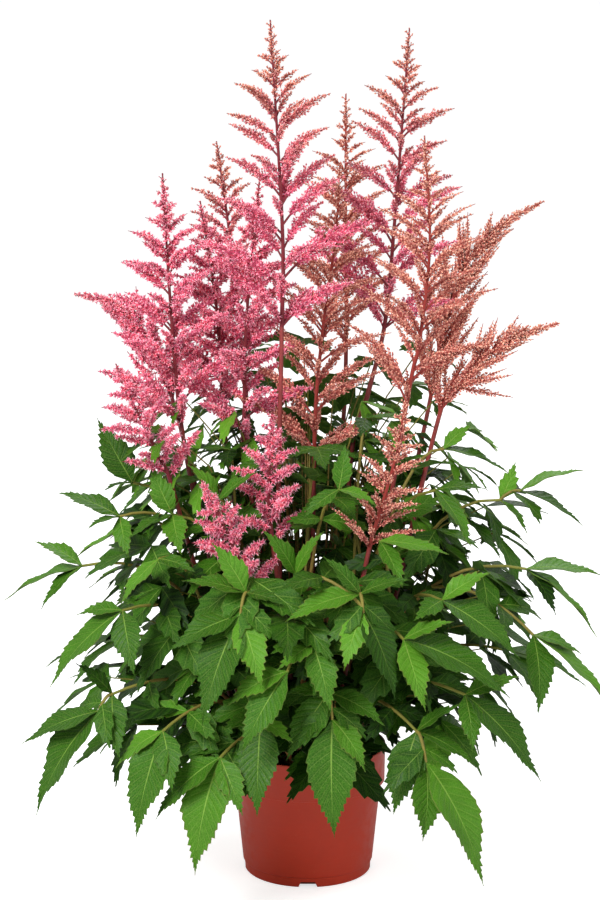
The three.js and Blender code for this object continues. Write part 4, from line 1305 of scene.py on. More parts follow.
@dataclass
class Spray:
    """A branch that carries florets on short twigs.

    Attributes:
        line: Its line, from root to tip.
        width: Takes shares of the line and gives how far the florets stand out there.
        bare: Share of the line before its first florets.
        ripeness: Takes shares of the line and gives how far open the florets are there.
        stem: Radius of the branch at its root.
        size: Size of its florets, over their usual one.
    """

    line: Line
    width: Callable[[Array], Array]
    bare: float
    ripeness: Callable[[Array], Array]
    stem: float
    size: float = 1.0


@dataclass(frozen=True)
class Ripeness:
    """How far open florets are, from 0, closed and brown, to 1, open and bright.

    Attributes:
        start: At the tips of the highest branches.
        lower: Added down the plume, over its length.
        inner: Added from a branch's tip to its root.
        both: Added where both grow.
    """

    start: float
    lower: float = 0.0
    inner: float = 0.0
    both: float = 0.0

    def at(self, depth: float, share: Array) -> Array:
        """The value at places along a branch that leaves the axis at a depth, over the plume's length."""
        inner = 1 - np.asarray(share, float)
        return np.clip(self.start + self.lower * depth + (self.inner + self.both * depth) * inner, 0, 1)


@dataclass(frozen=True)
class FloretMix:
    """How florets are spaced on a plume and which shapes they are.

    Attributes:
        pitch: From one whorl of twigs to the next.
        step: From one floret to the next on a twig.
        size: Length of a floret.
        core: Radius of a long twig's foot.
        tilt: How far florets lean off their twig, in radians.
        buds: Share of buds.
        stars: Share of open stars.
        ripeness: How far open they are.
        bursts: Share of wide open stars.
    """

    pitch: float
    step: float
    size: float
    core: float
    tilt: float
    buds: float
    stars: float
    ripeness: Ripeness
    bursts: float = 0.0


MIXES = {
    Tint.PINK: FloretMix(4.2, 3.3, 4.8, core=1.8, tilt=0.9, buds=0.1, stars=0.55,
                         ripeness=Ripeness(0, lower=1.6, inner=0.5)),
    Tint.ROSE: FloretMix(3.4, 2.8, 3.6, core=1.4, tilt=0.7, buds=0.5, stars=0.3,
                         ripeness=Ripeness(-0.684, lower=1.9, inner=0.55)),
    Tint.SALMON: FloretMix(3.6, 2.3, 3.3, core=1.4, tilt=0.6, buds=0.8, stars=0.0,
                           ripeness=Ripeness(0.1, both=0.715)),
}
SMALL_PINK_MIX = FloretMix(4.0, 3.6, 5.2, core=1.0, tilt=0.95, buds=0.05, stars=0.3, bursts=0.6,
                           ripeness=Ripeness(0.45, lower=1.6, inner=0.5))


@dataclass(frozen=True)
class Growth:
    """A measure of a branch that grows with its reach, up to a limit."""

    start: float
    rate: float
    limit: float

    def at(self, reach: float) -> float:
        """The measure for a reach."""
        return min(self.start + reach * self.rate, self.limit)


@dataclass
class Dresser:
    """Dresses sprays with whorls of twigs, and the twigs with florets.

    Attributes:
        mix: Spacing and shapes of the florets.
        shapes: The florets' shapes.
        twig: The twigs' shape.
        rng: Source of small differences.
    """

    mix: FloretMix
    shapes: dict[Floret, Pattern]
    twig: Pattern
    rng: Rng
    twigs: int = 3
    stem_points: int = 8
    stem_sides: int = 5
    stem_foot: float = 1.05
    stem_taper: float = 0.75
    turn_noise: float = 0.25
    least_lean: float = 0.44
    lean_growth: float = 0.024
    lean_noise: float = 0.05
    twig_size: Range = (0.8, 1.08)
    twig_tone: Range = (0.1, 0.6)
    # twigs take the deep colour of the petals' foot, which also stands for painted shade in the gaps
    twig_reach: float = 0.12
    full_core: float = 9
    least_core: float = 0.4
    head: float = 0.6
    overlap: float = 0.4
    bare_foot: float = 0.15
    jitter: float = 0.2
    off_core: float = 0.8
    end_shrink: float = 0.3
    ripe_noise: float = 0.12
    unripe_buds: float = 0.6
    floret_size: Range = (0.8, 1.2)
    heart: float = 0.3

    def dress(self, stock: Stock, spray: Spray) -> None:
        """Adds a spray's branch, and its whorls of twigs that are packed with florets.

        Args:
            stock: What they are added to.
            spray: The spray.
        """
        mix, rng, line = self.mix, self.rng, spray.line
        share = np.linspace(0, 1, self.stem_points)
        radii = spray.stem * (self.stem_foot - self.stem_taper * share)
        stock.tube(line.at(share), radii, self.stem_sides, floret_part=0.0, floret_reach=0.5,
                   floret_ripe=0.5, floret_tone=0.5)
        whorls = np.arange(spray.bare * line.length, line.length, mix.pitch) / line.length
        turn = np.arange(len(whorls))[:, None] * GOLDEN_TURN
        turn = turn + np.arange(self.twigs) * FULL_TURN / self.twigs
        turn = (turn + rng.normal(0, self.turn_noise, turn.shape)).ravel()
        stations = np.repeat(whorls, self.twigs)
        foot, along = line.at(stations), line.direction(stations)
        radial = self._off_axis(along, turn)
        reach = spray.width(stations)
        lean = self.least_lean + self.lean_growth * reach + rng.normal(0, self.lean_noise, len(turn))
        heading = unit(radial * np.sin(lean)[:, None] + along * np.cos(lean)[:, None])
        length = reach * rng.uniform(*self.twig_size, len(turn)) / np.sin(lean)
        ripe = spray.ripeness(stations)
        core = mix.core * np.clip(length / self.full_core, self.least_core, 1)
        ones = np.ones(len(turn))
        stock.scatter(self.twig, foot, heading, turn, np.stack([core, core, length], axis=-1),
                      floret_part=ones, floret_reach=ones * self.twig_reach, floret_ripe=ripe,
                      floret_tone=rng.uniform(*self.twig_tone, len(turn)))
        rows = np.arange(int(math.ceil(float(length.max()) / mix.step)))
        away = length[:, None] - mix.size * self.head - rows * mix.step
        shown = (away > -mix.step * self.overlap) & (away > length[:, None] * self.bare_foot - mix.step)
        twig, row = np.nonzero(shown)
        away = np.maximum(away[shown], 0)
        side = self._off_axis(heading[twig], row * GOLDEN_TURN + turn[twig] * 3)
        side = side * (row > 0)[:, None] + rng.normal(0, self.jitter, (len(row), 3))
        places = foot[twig] + heading[twig] * away[:, None] + side * self.off_core
        axes = unit(heading[twig] + side * math.tan(mix.tilt))
        tapering = spray.size * (1 - self.end_shrink * stations[twig] ** 2)
        self._add_florets(stock, places, axes, ripe[twig], tapering)

    @staticmethod
    def _off_axis(axes: Array, turns: Array) -> Array:
        """Unit directions square to axes, turned about them.

        Args:
            axes: The axes, as unit directions.
            turns: How far each is turned, in radians.

        Returns:
            The directions.
        """
        helper = np.where(np.abs(axes[:, 1:2]) < STRAIGHT, [0.0, 1.0, 0.0], [1.0, 0.0, 0.0])
        east = unit(np.cross(axes, helper))
        return np.cos(turns)[:, None] * east + np.sin(turns)[:, None] * np.cross(axes, east)

    def _add_florets(self, stock: Stock, places: Array, axes: Array, ripe: Array, tapering: Array) -> None:
        """Adds florets of the plume's mix of shapes.

        Args:
            stock: What they are added to.
            places: Where they stand.
            axes: Which way they look.
            ripe: How far open they are.
            tapering: Share of their full size.
        """
        mix, rng, count = self.mix, self.rng, len(places)
        ripe = np.clip(ripe + rng.normal(0, self.ripe_noise, count), 0, 1)
        closed_share = mix.buds + self.unripe_buds * (1 - ripe) * (1 - mix.buds)
        closed = rng.uniform(0, 1, count) < closed_share
        draw = rng.uniform(0, 1, count)
        stars = ~closed & (draw < mix.stars)
        bursts = ~closed & ~stars & (draw < mix.stars + mix.bursts)
        cups = ~closed & ~stars & ~bursts
        size = mix.size * tapering * rng.uniform(*self.floret_size, count)
        tone = rng.uniform(0, 1, count)
        turns = rng.uniform(0, FULL_TURN, count)
        chosen = {Floret.BUD: closed, Floret.CUP: cups, Floret.STAR: stars, Floret.BURST: bursts}
        for floret, mask in chosen.items():
            pattern = self.shapes[floret]
            span = np.linalg.norm(pattern.points - [0, 0, self.heart], axis=1)
            reach = (span - span.min()) / np.ptp(span)
            picked = np.flatnonzero(mask)
            stock.scatter(
                pattern, places[picked], axes[picked], turns[picked],
                np.repeat(size[picked][:, None], 3, axis=1),
                floret_part=np.ones(len(picked)),
                floret_reach=np.broadcast_to(reach, (len(picked), len(reach))),
                floret_ripe=ripe[picked], floret_tone=tone[picked],
            )


@dataclass
class Plume:
    """One flower: the plume with its axis, side branches and florets."""

    plan: FlowerPlan
    number: int
    stem: StemShape
    shapes: dict[Floret, Pattern]
    twig: Pattern
    axis_points: int = 28
    axis_sides: int = 8
    axis_taper: float = 1.2
    spire_share: float = 0.13
    spire_spike: float = 3.2
    spire_points: int = 4
    spire_depth: float = 0.05
    spike_tip: float = 1.08
    spike_power: float = 0.8
    drooping_share: float = 0.4
    drooping_spike: float = 8
    drooping_rise: float = 0.72
    sweep: float = 1.25
    knee_sweep: float = 0.5
    cluster_gap: float = 6.5
    cluster_reach: float = 2.6
    cluster_growth: float = 0.18
    cluster_rise: float = 0.9
    cluster_share: float = 1.15
    top_size: float = 0.74
    first_gap: float = 8
    gap_growth: float = 0.125
    last_gap: float = 6
    precession: float = 37
    first_azimuth: float = 20
    depth_share: float = 0.8
    axis_steps: int = 3
    clearance: float = 0.35
    least_width: float = 2.1
    width_square: float = 0.00125
    slim_square: float = 0.0006
    slim_top: tuple[Range, Range] = ((0.12, 0.28), (0.58, 1))
    slim_leaning: tuple[Range, Range] = ((0.05, 0.5), (0.3, 1))
    peak: float = 0.38
    width_rise: float = 0.65
    width_fall: float = 0.95
    bare: Growth = Growth(0.06, 0.0014, 0.2)
    branch_radius: Growth = Growth(0.7, 0.006, 1.3)
    shortest: float = 0.86
    longest: float = 1.14
    knee_out: float = 0.38
    knee_up: float = 0.72
    bend_turns: Row = (0, 14, -14, 28, -28, 42, -42, 58, -58, 75, -75)
    bend_lifts: Row = (0.64, 0.86, 0.46)
    bend_shares: Row = (1, 0.85, 0.7)
    between: tuple[Range, ...] = ((0.24, 180), (0.5, 95), (0.76, 275))
    filling: tuple[Range, ...] = ((0.36, 140), (0.64, 225), (0.1, 320))
    pink_filling: tuple[Range, ...] = ((0.38, 140),)
    filled_from: float = 0.3
    filled_reach: float = 0.12
    facing_share: float = 0.55
    place_noise: float = 0.06
    turn_noise: float = 12
    added_reach: Range = (0.9, 1.08)
    added_rise: Range = (0.52, 0.78)
    small: float = 160
    seed: int = 900

    value_names = ("floret_part", "floret_reach", "floret_ripe", "floret_tone")

    def __post_init__(self) -> None:
        """Measures the line, picks the mix of florets and lists the bends that the CAD chose from."""
        self.line = self.stem.line(self.plan)
        self._leans = self.line.direction(1.0)[2] < self.drooping_rise
        self._rng = np.random.default_rng(self.seed + self.number)
        self._bends = [
            Bend(turn, lift, share)
            for share in self.bend_shares for turn in self.bend_turns for lift in self.bend_lifts
        ]
        small_pink = self.plan.tint is Tint.PINK and self.plan.plume < self.small
        self._mix = SMALL_PINK_MIX if small_pink else MIXES[self.plan.tint]

    def build(self, node: Object, finish: bpy.types.Material) -> None:
        """Builds the plume.

        Args:
            node: Its CAD node.
            finish: The florets' finish.
        """
        stock = Stock(*self.value_names)
        share = np.linspace(1 - self.plan.plume / self.line.length, 1, self.axis_points)
        taper = np.linspace(0, 1, self.axis_points) ** self.axis_taper
        radii = self.stem.top_radius + (self.stem.tip_radius - self.stem.top_radius) * taper
        stock.tube(self.line.at(share), radii, self.axis_sides, floret_part=0.0, floret_reach=0.2,
                   floret_ripe=0.5, floret_tone=0.5)
        dresser = Dresser(self._mix, self.shapes, self.twig, self._rng)
        for spray in self._sprays(NodePoints(node)):
            dresser.dress(stock, spray)
        piece = stock.finish(f"floret_plume_{self.plan.name}", sharp_angle=None)
        settle(piece, f"florets_{self.plan.tint.value}", finish, f"plume_{self.plan.name}")

    def _sprays(self, points: NodePoints) -> list[Spray]:
        """The spire and all side branches: those of the CAD, and more of them in between.

        Args:
            points: The vertices of the plume's CAD node.

        Returns:
            The sprays.
        """
        plume, whole = self.plan.plume, self.line.length
        roots = self._roots()
        sprays = [self._spire(), *self._clusters()]
        found: list[tuple[float, float]] = []
        low, high = 1 - (plume - self.clearance) / whole, 1 - plume * self.spire_share / whole
        for index, (below, draw) in enumerate(zip(roots, seeded_draws(self.number, len(roots)))):
            azimuth = math.radians(index * (180 + self.precession) + self.first_azimuth)
            reach = self._reach(below) * (self.shortest + (self.longest - self.shortest) * draw)
            chord_root = self.line.on_chords(1 - below / whole, low, high, self.axis_steps)
            tips = [self._branch_ends(chord_root, below, azimuth, reach, bend)[1] for bend in self._bends]
            bend = self._bends[points.nearest_choice(tips)]
            knee, tip = self._branch_ends(chord_root, below, azimuth, reach, bend)
            root = self.line.at(1 - below / whole)
            slim = self._slimness(below)
            knee, tip = root + (knee - root) * slim, root + (tip - root) * slim
            sprays.append(self._branch(root, knee, tip, below))
            found.append((below, azimuth))
        sprays += self._between(found)
        return sprays

    def _roots(self) -> list[float]:
        """How far below the apex the CAD's side branches leave the axis."""
        roots, below = [], self.plan.plume * self.spire_share + self.first_gap / 2
        while below < self.plan.plume - self.last_gap:
            roots.append(below)
            below += self.first_gap + self.gap_growth * below
        return roots

    def _reach(self, below: float) -> float:
        """How far side branches reach at a distance below the apex."""
        return self.plan.spread * (1 - math.exp(-self.plan.taper * below / self.plan.spread))

    def _slimness(self, below: float) -> float:
        """Share of the CAD's reach that side branches have at a distance below the apex."""
        slimming = self.slim_leaning if self._leans else self.slim_top
        return float(np.interp(below / self.plan.plume, *slimming))

    def _branch_ends(self, root: Array, below: float, azimuth: float, reach: float,
                     bend: Bend) -> tuple[Array, Array]:
        """The knee and the tip of a side branch.

        Args:
            root: Where it leaves the axis.
            below: How far that is below the apex.
            azimuth: Its direction round the axis, in radians.
            reach: How far it reaches.
            bend: Turn in degrees, rise over reach, and share of the reach.

        Returns:
            The knee and the tip.
        """
        along = self.line.direction(1 - below / self.line.length)
        side = unit(np.cross(along, [0.0, 1.0, 0.0]))
        depth = unit(np.cross(side, along))
        turned = azimuth + math.radians(bend.first)
        out = side * math.cos(turned) + depth * self.depth_share * math.sin(turned)
        far = reach * bend.share
        tip = root + out * far + along * far * bend.second
        knee = root + out * far * self.knee_out + along * far * bend.second * self.knee_up
        return knee, tip

    def _between(self, found: list[tuple[float, float]]) -> list[Spray]:
        """More side branches after each of the CAD's. Those that point sideways reach further.

        Args:
            found: Distance below the apex and direction of the CAD's branches.

        Returns:
            The added sprays.
        """
        sprays = []
        rng = self._rng
        for below, azimuth in found:
            gap = self.first_gap + self.gap_growth * below
            low = below > self.filled_from * self.plan.plume
            filled = self.plan.tint is Tint.SALMON and low
            dense = self.plan.tint is Tint.PINK and low and self.plan.plume > self.small
            for share, turn in self.between + self.filling * filled + self.pink_filling * dense:
                place = below + gap * (share + rng.uniform(-self.place_noise, self.place_noise))
                place = min(place, self.plan.plume)
                facing = math.sin(azimuth + math.radians(turn)) ** 2
                part = (1 + self.filled_reach * filled) * (1 - (1 - self.facing_share) * facing)
                reach = self._reach(place) * part * self._slimness(place) * rng.uniform(*self.added_reach)
                turn += rng.uniform(-self.turn_noise, self.turn_noise)
                bend = Bend(turn, rng.uniform(*self.added_rise))
                root = self.line.at(1 - place / self.line.length)
                knee, tip = self._branch_ends(root, place, azimuth, reach, bend)
                sprays.append(self._branch(root, knee, tip, place))
        return sprays

    def _branch(self, root: Array, knee: Array, tip: Array, below: float) -> Spray:
        """A side branch.

        Args:
            root: Where it leaves the axis.
            knee: The point that it bends towards.
            tip: Where it ends.
            below: How far its root is below the apex.

        Returns:
            The branch.
        """
        reach = float(np.linalg.norm(tip - root))
        if self._leans:
            onward = self.line.direction(1 - below / self.line.length) * self.sweep
            tip = root + unit(unit(tip - root) + onward) * reach
            knee_onward = unit(unit(knee - root) + onward * self.knee_sweep)
            knee = root + knee_onward * np.linalg.norm(knee - root)
        square = self.slim_square if self.plan.tint is Tint.SALMON else self.width_square
        widest = self.least_width + square * reach**2

        def width(share: Array) -> Array:
            """How far florets stand out at shares of the branch."""
            body = np.maximum(share, 1e-6) / self.peak
            taper = np.maximum(1 - share, 1e-6) / (1 - self.peak)
            falling = np.where(share > self.peak, taper**self.width_fall, 1)
            return widest * np.minimum(body, 1) ** self.width_rise * falling

        return Spray(BowedLine(root, knee, tip), width, self.bare.at(reach),
                     self._ripeness(below / self.plan.plume), self.branch_radius.at(reach))

    def _ripeness(self, depth: float) -> Callable[[Array], Array]:
        """What tells how far open the florets are along a branch at a depth below the apex."""
        return lambda share: self._mix.ripeness.at(depth, share)

    def _spire(self) -> Spray:
        """The top of the plume along its axis: slim where it stands, a long feather where it leans over.

        Returns:
            The spire.
        """
        if self._leans:
            part, spike, size = self.drooping_share, self.drooping_spike, 1.0
        else:
            part, spike, size = self.spire_share, self.spire_spike, self.top_size
        share = self.plan.plume * part / self.line.length
        line = ThroughLine(self.line.at(1 - share * np.linspace(1, 0, self.spire_points)))
        return Spray(line, lambda at: spike * (self.spike_tip - at) ** self.spike_power, 0.0,
                     self._ripeness(self.spire_depth), self.stem.tip_radius, size)

    def _clusters(self) -> list[Spray]:
        """The short side clusters of the slim top.

        Returns:
            The clusters.
        """
        sprays = []
        end = self.plan.plume * self.spire_share * self.cluster_share
        for index, below in enumerate(np.arange(self.cluster_gap, end, self.cluster_gap / 2)):
            azimuth = math.radians(index * (180 + self.precession))
            reach = self.cluster_reach + self.cluster_growth * below
            root = self.line.at(1 - below / self.line.length)
            knee, tip = self._branch_ends(root, below, azimuth, reach, Bend(0, self.cluster_rise))
            sprays.append(replace(self._branch(root, knee, tip, below), size=self.top_size))
        return sprays


@dataclass
class FlowerStems:
    """The bare flower stems, from the soil up to their plumes."""

    shape: StemShape
    finish: bpy.types.Material
    steps: int = 40
    joints: int = 2
    joint_places: Range = (0.25, 0.9)
    joint_swell: float = 0.35
    joint_width: float = 0.02
    seed: int = 3

    def build(self) -> None:
        """Builds every stem, with a slight swelling at its joints."""
        for number, plan in enumerate(FLOWERS):
            rng = np.random.default_rng(self.seed + number)
            line = self.shape.line(plan)
            top = 1 - plan.plume / line.length
            share = np.linspace(0, top, self.steps)
            climb = np.linspace(0, 1, self.steps)
            radii = self.shape.foot_radius + (self.shape.top_radius - self.shape.foot_radius) * climb
            for joint in rng.uniform(*self.joint_places, self.joints):
                radii = radii + self.joint_swell * np.exp(-(((climb - joint) / self.joint_width) ** 2))
            stock = Stock("stem_climb")
            stock.tube(line.at(share), radii, self.shape.sides, stem_climb=climb)
            piece = stock.finish(f"flower_stem_{plan.name}", sharp_angle=SHARP_ANGLE)
            settle(piece, "stem", self.finish, f"stem_{plan.name}")

    def feet(self) -> list[Array]:
        """Where the stems stand in the soil."""
        return [self.shape.line(plan).at(0.0) for plan in FLOWERS]


# ---- pot and soil


@dataclass
class NurseryPot:
    """The moulded pot: a tapered body with a rim band, a foot band and drain openings."""

    finish: bpy.types.Material
    height: float = 128
    rim_radius: float = 77
    rim_band: float = 37
    rim_taper: float = 0.8
    band_ledge: float = 3
    neck_radius: float = 72.5
    foot_radius: float = 62.7
    foot_band: float = 9.5
    foot_step: float = 1.6
    wall: float = 1.6
    floor: float = 2.4
    sides: int = 128
    drain_count: int = 4
    drain_width: float = 20
    drain_top: float = 14
    drain_height: float = 5.5
    drain_depth: float = 12
    drain_overlap: float = 2
    foot_chamfer: Range = (1, 1.2)
    floor_chamfer: float = 1
    lip_step: float = 0.35
    lip_height: Range = (3, 2.2)
    edge_radius: float = 0.35
    edge_angle: float = 35
    smooth_angle: float = 32

    def build(self) -> None:
        """Builds the pot as a turned shell with its drain openings cut out."""
        obj = self._shell()
        for index in range(self.drain_count):
            cutter = self._drain_cutter(index * FULL_TURN / self.drain_count)
            bpy.context.view_layer.objects.active = obj
            lone_active()
            apply_modifier(obj, "BOOLEAN", operation="DIFFERENCE", solver="EXACT", object=cutter)
            bpy.data.objects.remove(cutter)
        apply_modifier(obj, "BEVEL", width=self.edge_radius * MM, segments=2, limit_method="ANGLE",
                       angle_limit=math.radians(self.edge_angle))
        bpy.ops.object.shade_smooth_by_angle(angle=math.radians(self.smooth_angle))
        obj.name = obj.data.name = "nursery_pot"
        settle(obj, "pot", self.finish, "pot")

    def _shell(self) -> Object:
        """The turned shell: a disc that is drawn up along the outside and down along the inside.

        Returns:
            The object, active and alone selected.
        """
        foot, rim, top = self.foot_radius, self.rim_radius, self.height
        band_foot = top - self.rim_band
        (chamfer_out, chamfer_up), (lip_foot, lip_top) = self.foot_chamfer, self.lip_height
        outline = [
            (foot - chamfer_out, 0), (foot, chamfer_up), (foot, self.foot_band),
            (foot + self.foot_step, self.foot_band + self.foot_step / 2),
            (self.neck_radius, band_foot), (rim - self.rim_taper, band_foot + self.rim_taper),
            (rim - self.lip_step, top - lip_foot), (rim, top - lip_top), (rim, top),
            (rim - self.wall, top),
            (rim - self.rim_taper - self.wall, band_foot + self.band_ledge),
            (self.neck_radius - self.wall, band_foot - self.wall),
            (foot - self.wall, self.floor + self.floor_chamfer),
            (foot - self.wall - self.floor_chamfer, self.floor),
        ]
        radius = outline[0][0] * MM
        bpy.ops.mesh.primitive_circle_add(vertices=self.sides, radius=radius, fill_type="NGON")
        obj = lone_active()
        bpy.ops.object.mode_set(mode="EDIT")
        bpy.ops.mesh.select_all(action="SELECT")
        for (radius, height), (next_radius, next_height) in zip(outline, outline[1:]):
            rise = (next_height - height) * MM
            scale = next_radius / radius
            bpy.ops.mesh.extrude_region_move(TRANSFORM_OT_translate={"value": (0, 0, rise)})
            bpy.ops.transform.resize(value=(scale, scale, 1), center_override=(0, 0, 0))
        bpy.ops.mesh.select_all(action="SELECT")
        bpy.ops.mesh.normals_make_consistent(inside=False)
        bpy.ops.object.mode_set(mode="OBJECT")
        return obj

    def _drain_cutter(self, turn: float) -> Object:
        """A wedge that cuts one drain opening.

        Args:
            turn: Its direction round the pot, in radians.

        Returns:
            The object.
        """
        reach = self.foot_radius + self.drain_overlap - self.drain_depth / 2
        place = (reach * math.sin(turn) * MM, -reach * math.cos(turn) * MM, self.drain_height / 2 * MM)
        bpy.ops.mesh.primitive_cube_add(size=1, location=place, rotation=(0, 0, turn))
        obj = lone_active()
        obj.scale = (self.drain_width * MM, self.drain_depth * MM, self.drain_height * MM)
        bpy.ops.object.mode_set(mode="EDIT")
        select_faces(obj, looks_up)
        narrow = self.drain_top / self.drain_width
        for corner in (point for point in bmesh.from_edit_mesh(obj.data).verts if point.select):
            corner.co.x *= narrow
        select_faces(obj, looks_down)
        bpy.ops.transform.translate(value=(0, 0, -self.drain_overlap * MM))
        bpy.ops.object.mode_set(mode="OBJECT")
        bpy.ops.object.transform_apply()
        return obj


@dataclass
class PottingSoil:
    """The root ball: a lumpy top strewn with crumbs, and plain sides inside the pot."""

    finish: bpy.types.Material
    level: float = 111
    lump: float = 2.2
    fine_lump: float = 0.45
    radius: float = 74.1
    floor_radius: float = 60.2
    floor: float = 2.8
    top_share: float = 0.75
    sink_share: float = 0.1
    close_share: float = 0.15
    body_tone: float = 0.35
    crumbs: int = 900
    crumb_size: float = 2.0
    crumb_sizes: Range = (0.35, 1)
    crumb_power: float = 1.4
    crumb_shapes: tuple[Row, Row] = ((0.5, 0.6, 0.8), (1, 1, 1.6))
    crumb_rise: float = 0.2
    roughness: float = 0.22
    margin: float = 2.5
    chips: float = 0.14
    chip_tones: Range = (0.75, 1)
    crumb_tones: Range = (0, 0.6)
    seed: int = 19

    def build(self) -> None:
        """Builds the soil."""
        stock = Stock("soil_tone")
        self._body(stock)
        self._strew(stock)
        settle(stock.finish("potting_soil", sharp_angle=60), "soil", self.finish, "soil")

    def _top(self, x: Array, y: Array) -> Array:
        """Height of the lumpy top."""
        lump = np.sin(x * 0.11 + 1.3) * np.cos(y * 0.13 - 0.6) + 0.5 * np.sin((x + y) * 0.19)
        fine = np.sin(x * 0.61 + 0.4) * np.sin(y * 0.57 + 1.1) + 0.6 * np.sin(x * 1.13 - y * 0.97)
        return self.level + self.lump * lump + self.fine_lump * fine

    def _body(self, stock: Stock) -> None:
        """Adds the body, modelled as a ball that is pressed into the pot's inside."""
        bpy.ops.mesh.primitive_uv_sphere_add(segments=96, ring_count=48, radius=1)
        ball = Pattern.take(lone_active())
        x, y, z = ball.points.T
        polar = np.arccos(np.clip(z, -1, 1)) / math.pi
        azimuth = np.arctan2(y, x)
        spread = np.clip(polar / self.top_share, 0, 1)
        sink = np.clip((polar - self.top_share) / self.sink_share, 0, 1)
        closing = np.clip((1 - polar) / self.close_share, 0, 1)
        wall = (self.radius + (self.floor_radius - self.radius) * sink) * closing
        on_top = polar < self.top_share
        radius = np.where(on_top, spread * self.radius, wall)
        px, py = radius * np.cos(azimuth), radius * np.sin(azimuth)
        top = self._top(px, py)
        height = np.where(on_top, top, top * (1 - sink) + self.floor * sink)
        stock.add(np.stack([px, py, height], axis=-1), ball.triangles, soil_tone=self.body_tone)

    def _strew(self, stock: Stock) -> None:
        """Strews crumbs over the top."""
        rng = np.random.default_rng(self.seed)
        bpy.ops.mesh.primitive_ico_sphere_add(subdivisions=1, radius=1)
        crumb = Pattern.take(lone_active())
        rough = 1 + self.roughness * np.sin(crumb.points @ np.array([5.1, 3.7, 4.3]))[:, None]
        crumb = Pattern(crumb.points * rough, crumb.triangles)
        count = self.crumbs
        radius = (self.radius - self.margin) * np.sqrt(rng.uniform(0, 1, count))
        azimuth = rng.uniform(0, FULL_TURN, count)
        x, y = radius * np.cos(azimuth), radius * np.sin(azimuth)
        places = np.stack([x, y, self._top(x, y) + self.crumb_rise], axis=-1)
        axes = unit(rng.normal(0, 1, (count, 3)))
        size = self.crumb_size * rng.uniform(*self.crumb_sizes, count) ** self.crumb_power
        sizes = size[:, None] * rng.uniform(*self.crumb_shapes, (count, 3))
        is_chip = rng.uniform(0, 1, count) < self.chips
        chip_tone, crumb_tone = rng.uniform(*self.chip_tones, count), rng.uniform(*self.crumb_tones, count)
        tone = np.where(is_chip, chip_tone, crumb_tone)
        stock.scatter(crumb, places, axes, rng.uniform(0, 6, count), sizes, soil_tone=tone)


# ---- finishes


Socket = bpy.types.NodeSocket
Value = Socket | float | Row


class Nodes:
    """A short way to lay out shader nodes in a tree."""

    def __init__(self, tree: bpy.types.NodeTree) -> None:
        """Args: tree is the node tree that is filled."""
        self.tree = tree

    def put(self, kind: str, inputs: dict[str | int, Value] | None = None,
            **settings: object) -> bpy.types.Node:
        """Adds a node.

        Args:
            kind: Its type, without the first part that all shader nodes share.
            inputs: A value or an output for each named or numbered input.
            **settings: The node's own settings.

        Returns:
            The node.
        """
        node = self.tree.nodes.new(f"ShaderNode{kind}")
        for name, value in settings.items():
            setattr(node, name, value)
        for key, value in (inputs or {}).items():
            self.feed(node.inputs[key], value)
        return node

    def feed(self, socket: Socket, value: Value) -> None:
        """Links an output to an input, or sets the input's own value."""
        if isinstance(value, bpy.types.NodeSocket):
            self.tree.links.new(value, socket)
        else:
            socket.default_value = value

    def value(self, name: str) -> Socket:
        """One of the mesh's point values."""
        return self.put("Attribute", attribute_name=name).outputs["Fac"]

    def maths(self, operation: str, first: Value, second: Value = 0.0) -> Socket:
        """The output of a sum on one or two values."""
        return self.put("Math", {0: first, 1: second}, operation=operation).outputs[0]

    def times(self, first: Value, second: Value) -> Socket:
        """The product of two values."""
        return self.maths("MULTIPLY", first, second)

    def fade(self, value: Value, low: float, high: float, bottom: float = 0.0, top: float = 1.0) -> Socket:
        """A value eased from bottom to top as another goes from low to high."""
        node = self.put("MapRange", {0: value, 1: low, 2: high, 3: bottom, 4: top},
                        interpolation_type="SMOOTHSTEP")
        return node.outputs[0]

    def blend(self, factor: Value, first: Value, second: Value) -> Socket:
        """The mix of two colours."""
        return self.put("Mix", {0: factor, 6: first, 7: second}, data_type="RGBA").outputs[2]

    def ramp(self, factor: Socket, stops: Sequence[tuple[float, str]]) -> Socket:
        """A colour that follows a value.

        Args:
            factor: The value, from 0 to 1.
            stops: Places on the ramp with their colours.

        Returns:
            The colour.
        """
        node = self.put("ValToRGB", {0: factor})
        elements = node.color_ramp.elements
        for element, (place, shade) in zip(elements, (stops[0], stops[-1])):
            element.position, element.color = place, colour(shade)
        for place, shade in stops[1:-1]:
            elements.new(place).color = colour(shade)
        return node.outputs[0]

    def coordinates(self) -> Socket:
        """The object's own coordinates, in metres."""
        return self.put("TexCoord").outputs["Object"]

    def noise(self, scale: Value, detail: float) -> Socket:
        """Soft noise on the object's own coordinates."""
        inputs = {"Vector": self.coordinates(), "Scale": scale, "Detail": detail}
        return self.put("TexNoise", inputs).outputs[0]

    def streaks(self, scales: tuple[float, float, float], detail: float) -> Socket:
        """Soft noise that is stretched by a scale for each direction."""
        drawn = self.put("Mapping", {"Vector": self.coordinates(), "Scale": scales}).outputs[0]
        return self.put("TexNoise", {"Vector": drawn, "Scale": 1.0, "Detail": detail}).outputs[0]

    def bump(self, height: Socket, strength: float, depth: float) -> Socket:
        """A normal that is tilted by a height, of a depth in metres."""
        return self.put("Bump", {"Strength": strength, "Distance": depth, "Height": height}).outputs[0]


def colour(code: str) -> tuple[float, float, float, float]:
    """A colour written as six hexadecimal digits, as the shader's linear values."""
    parts = [int(code[i : i + 2], 16) / 255 for i in (0, 2, 4)]
    linear = [c / 12.92 if c <= 0.04045 else ((c + 0.055) / 1.055) ** 2.4 for c in parts]
    return (*linear, 1.0)


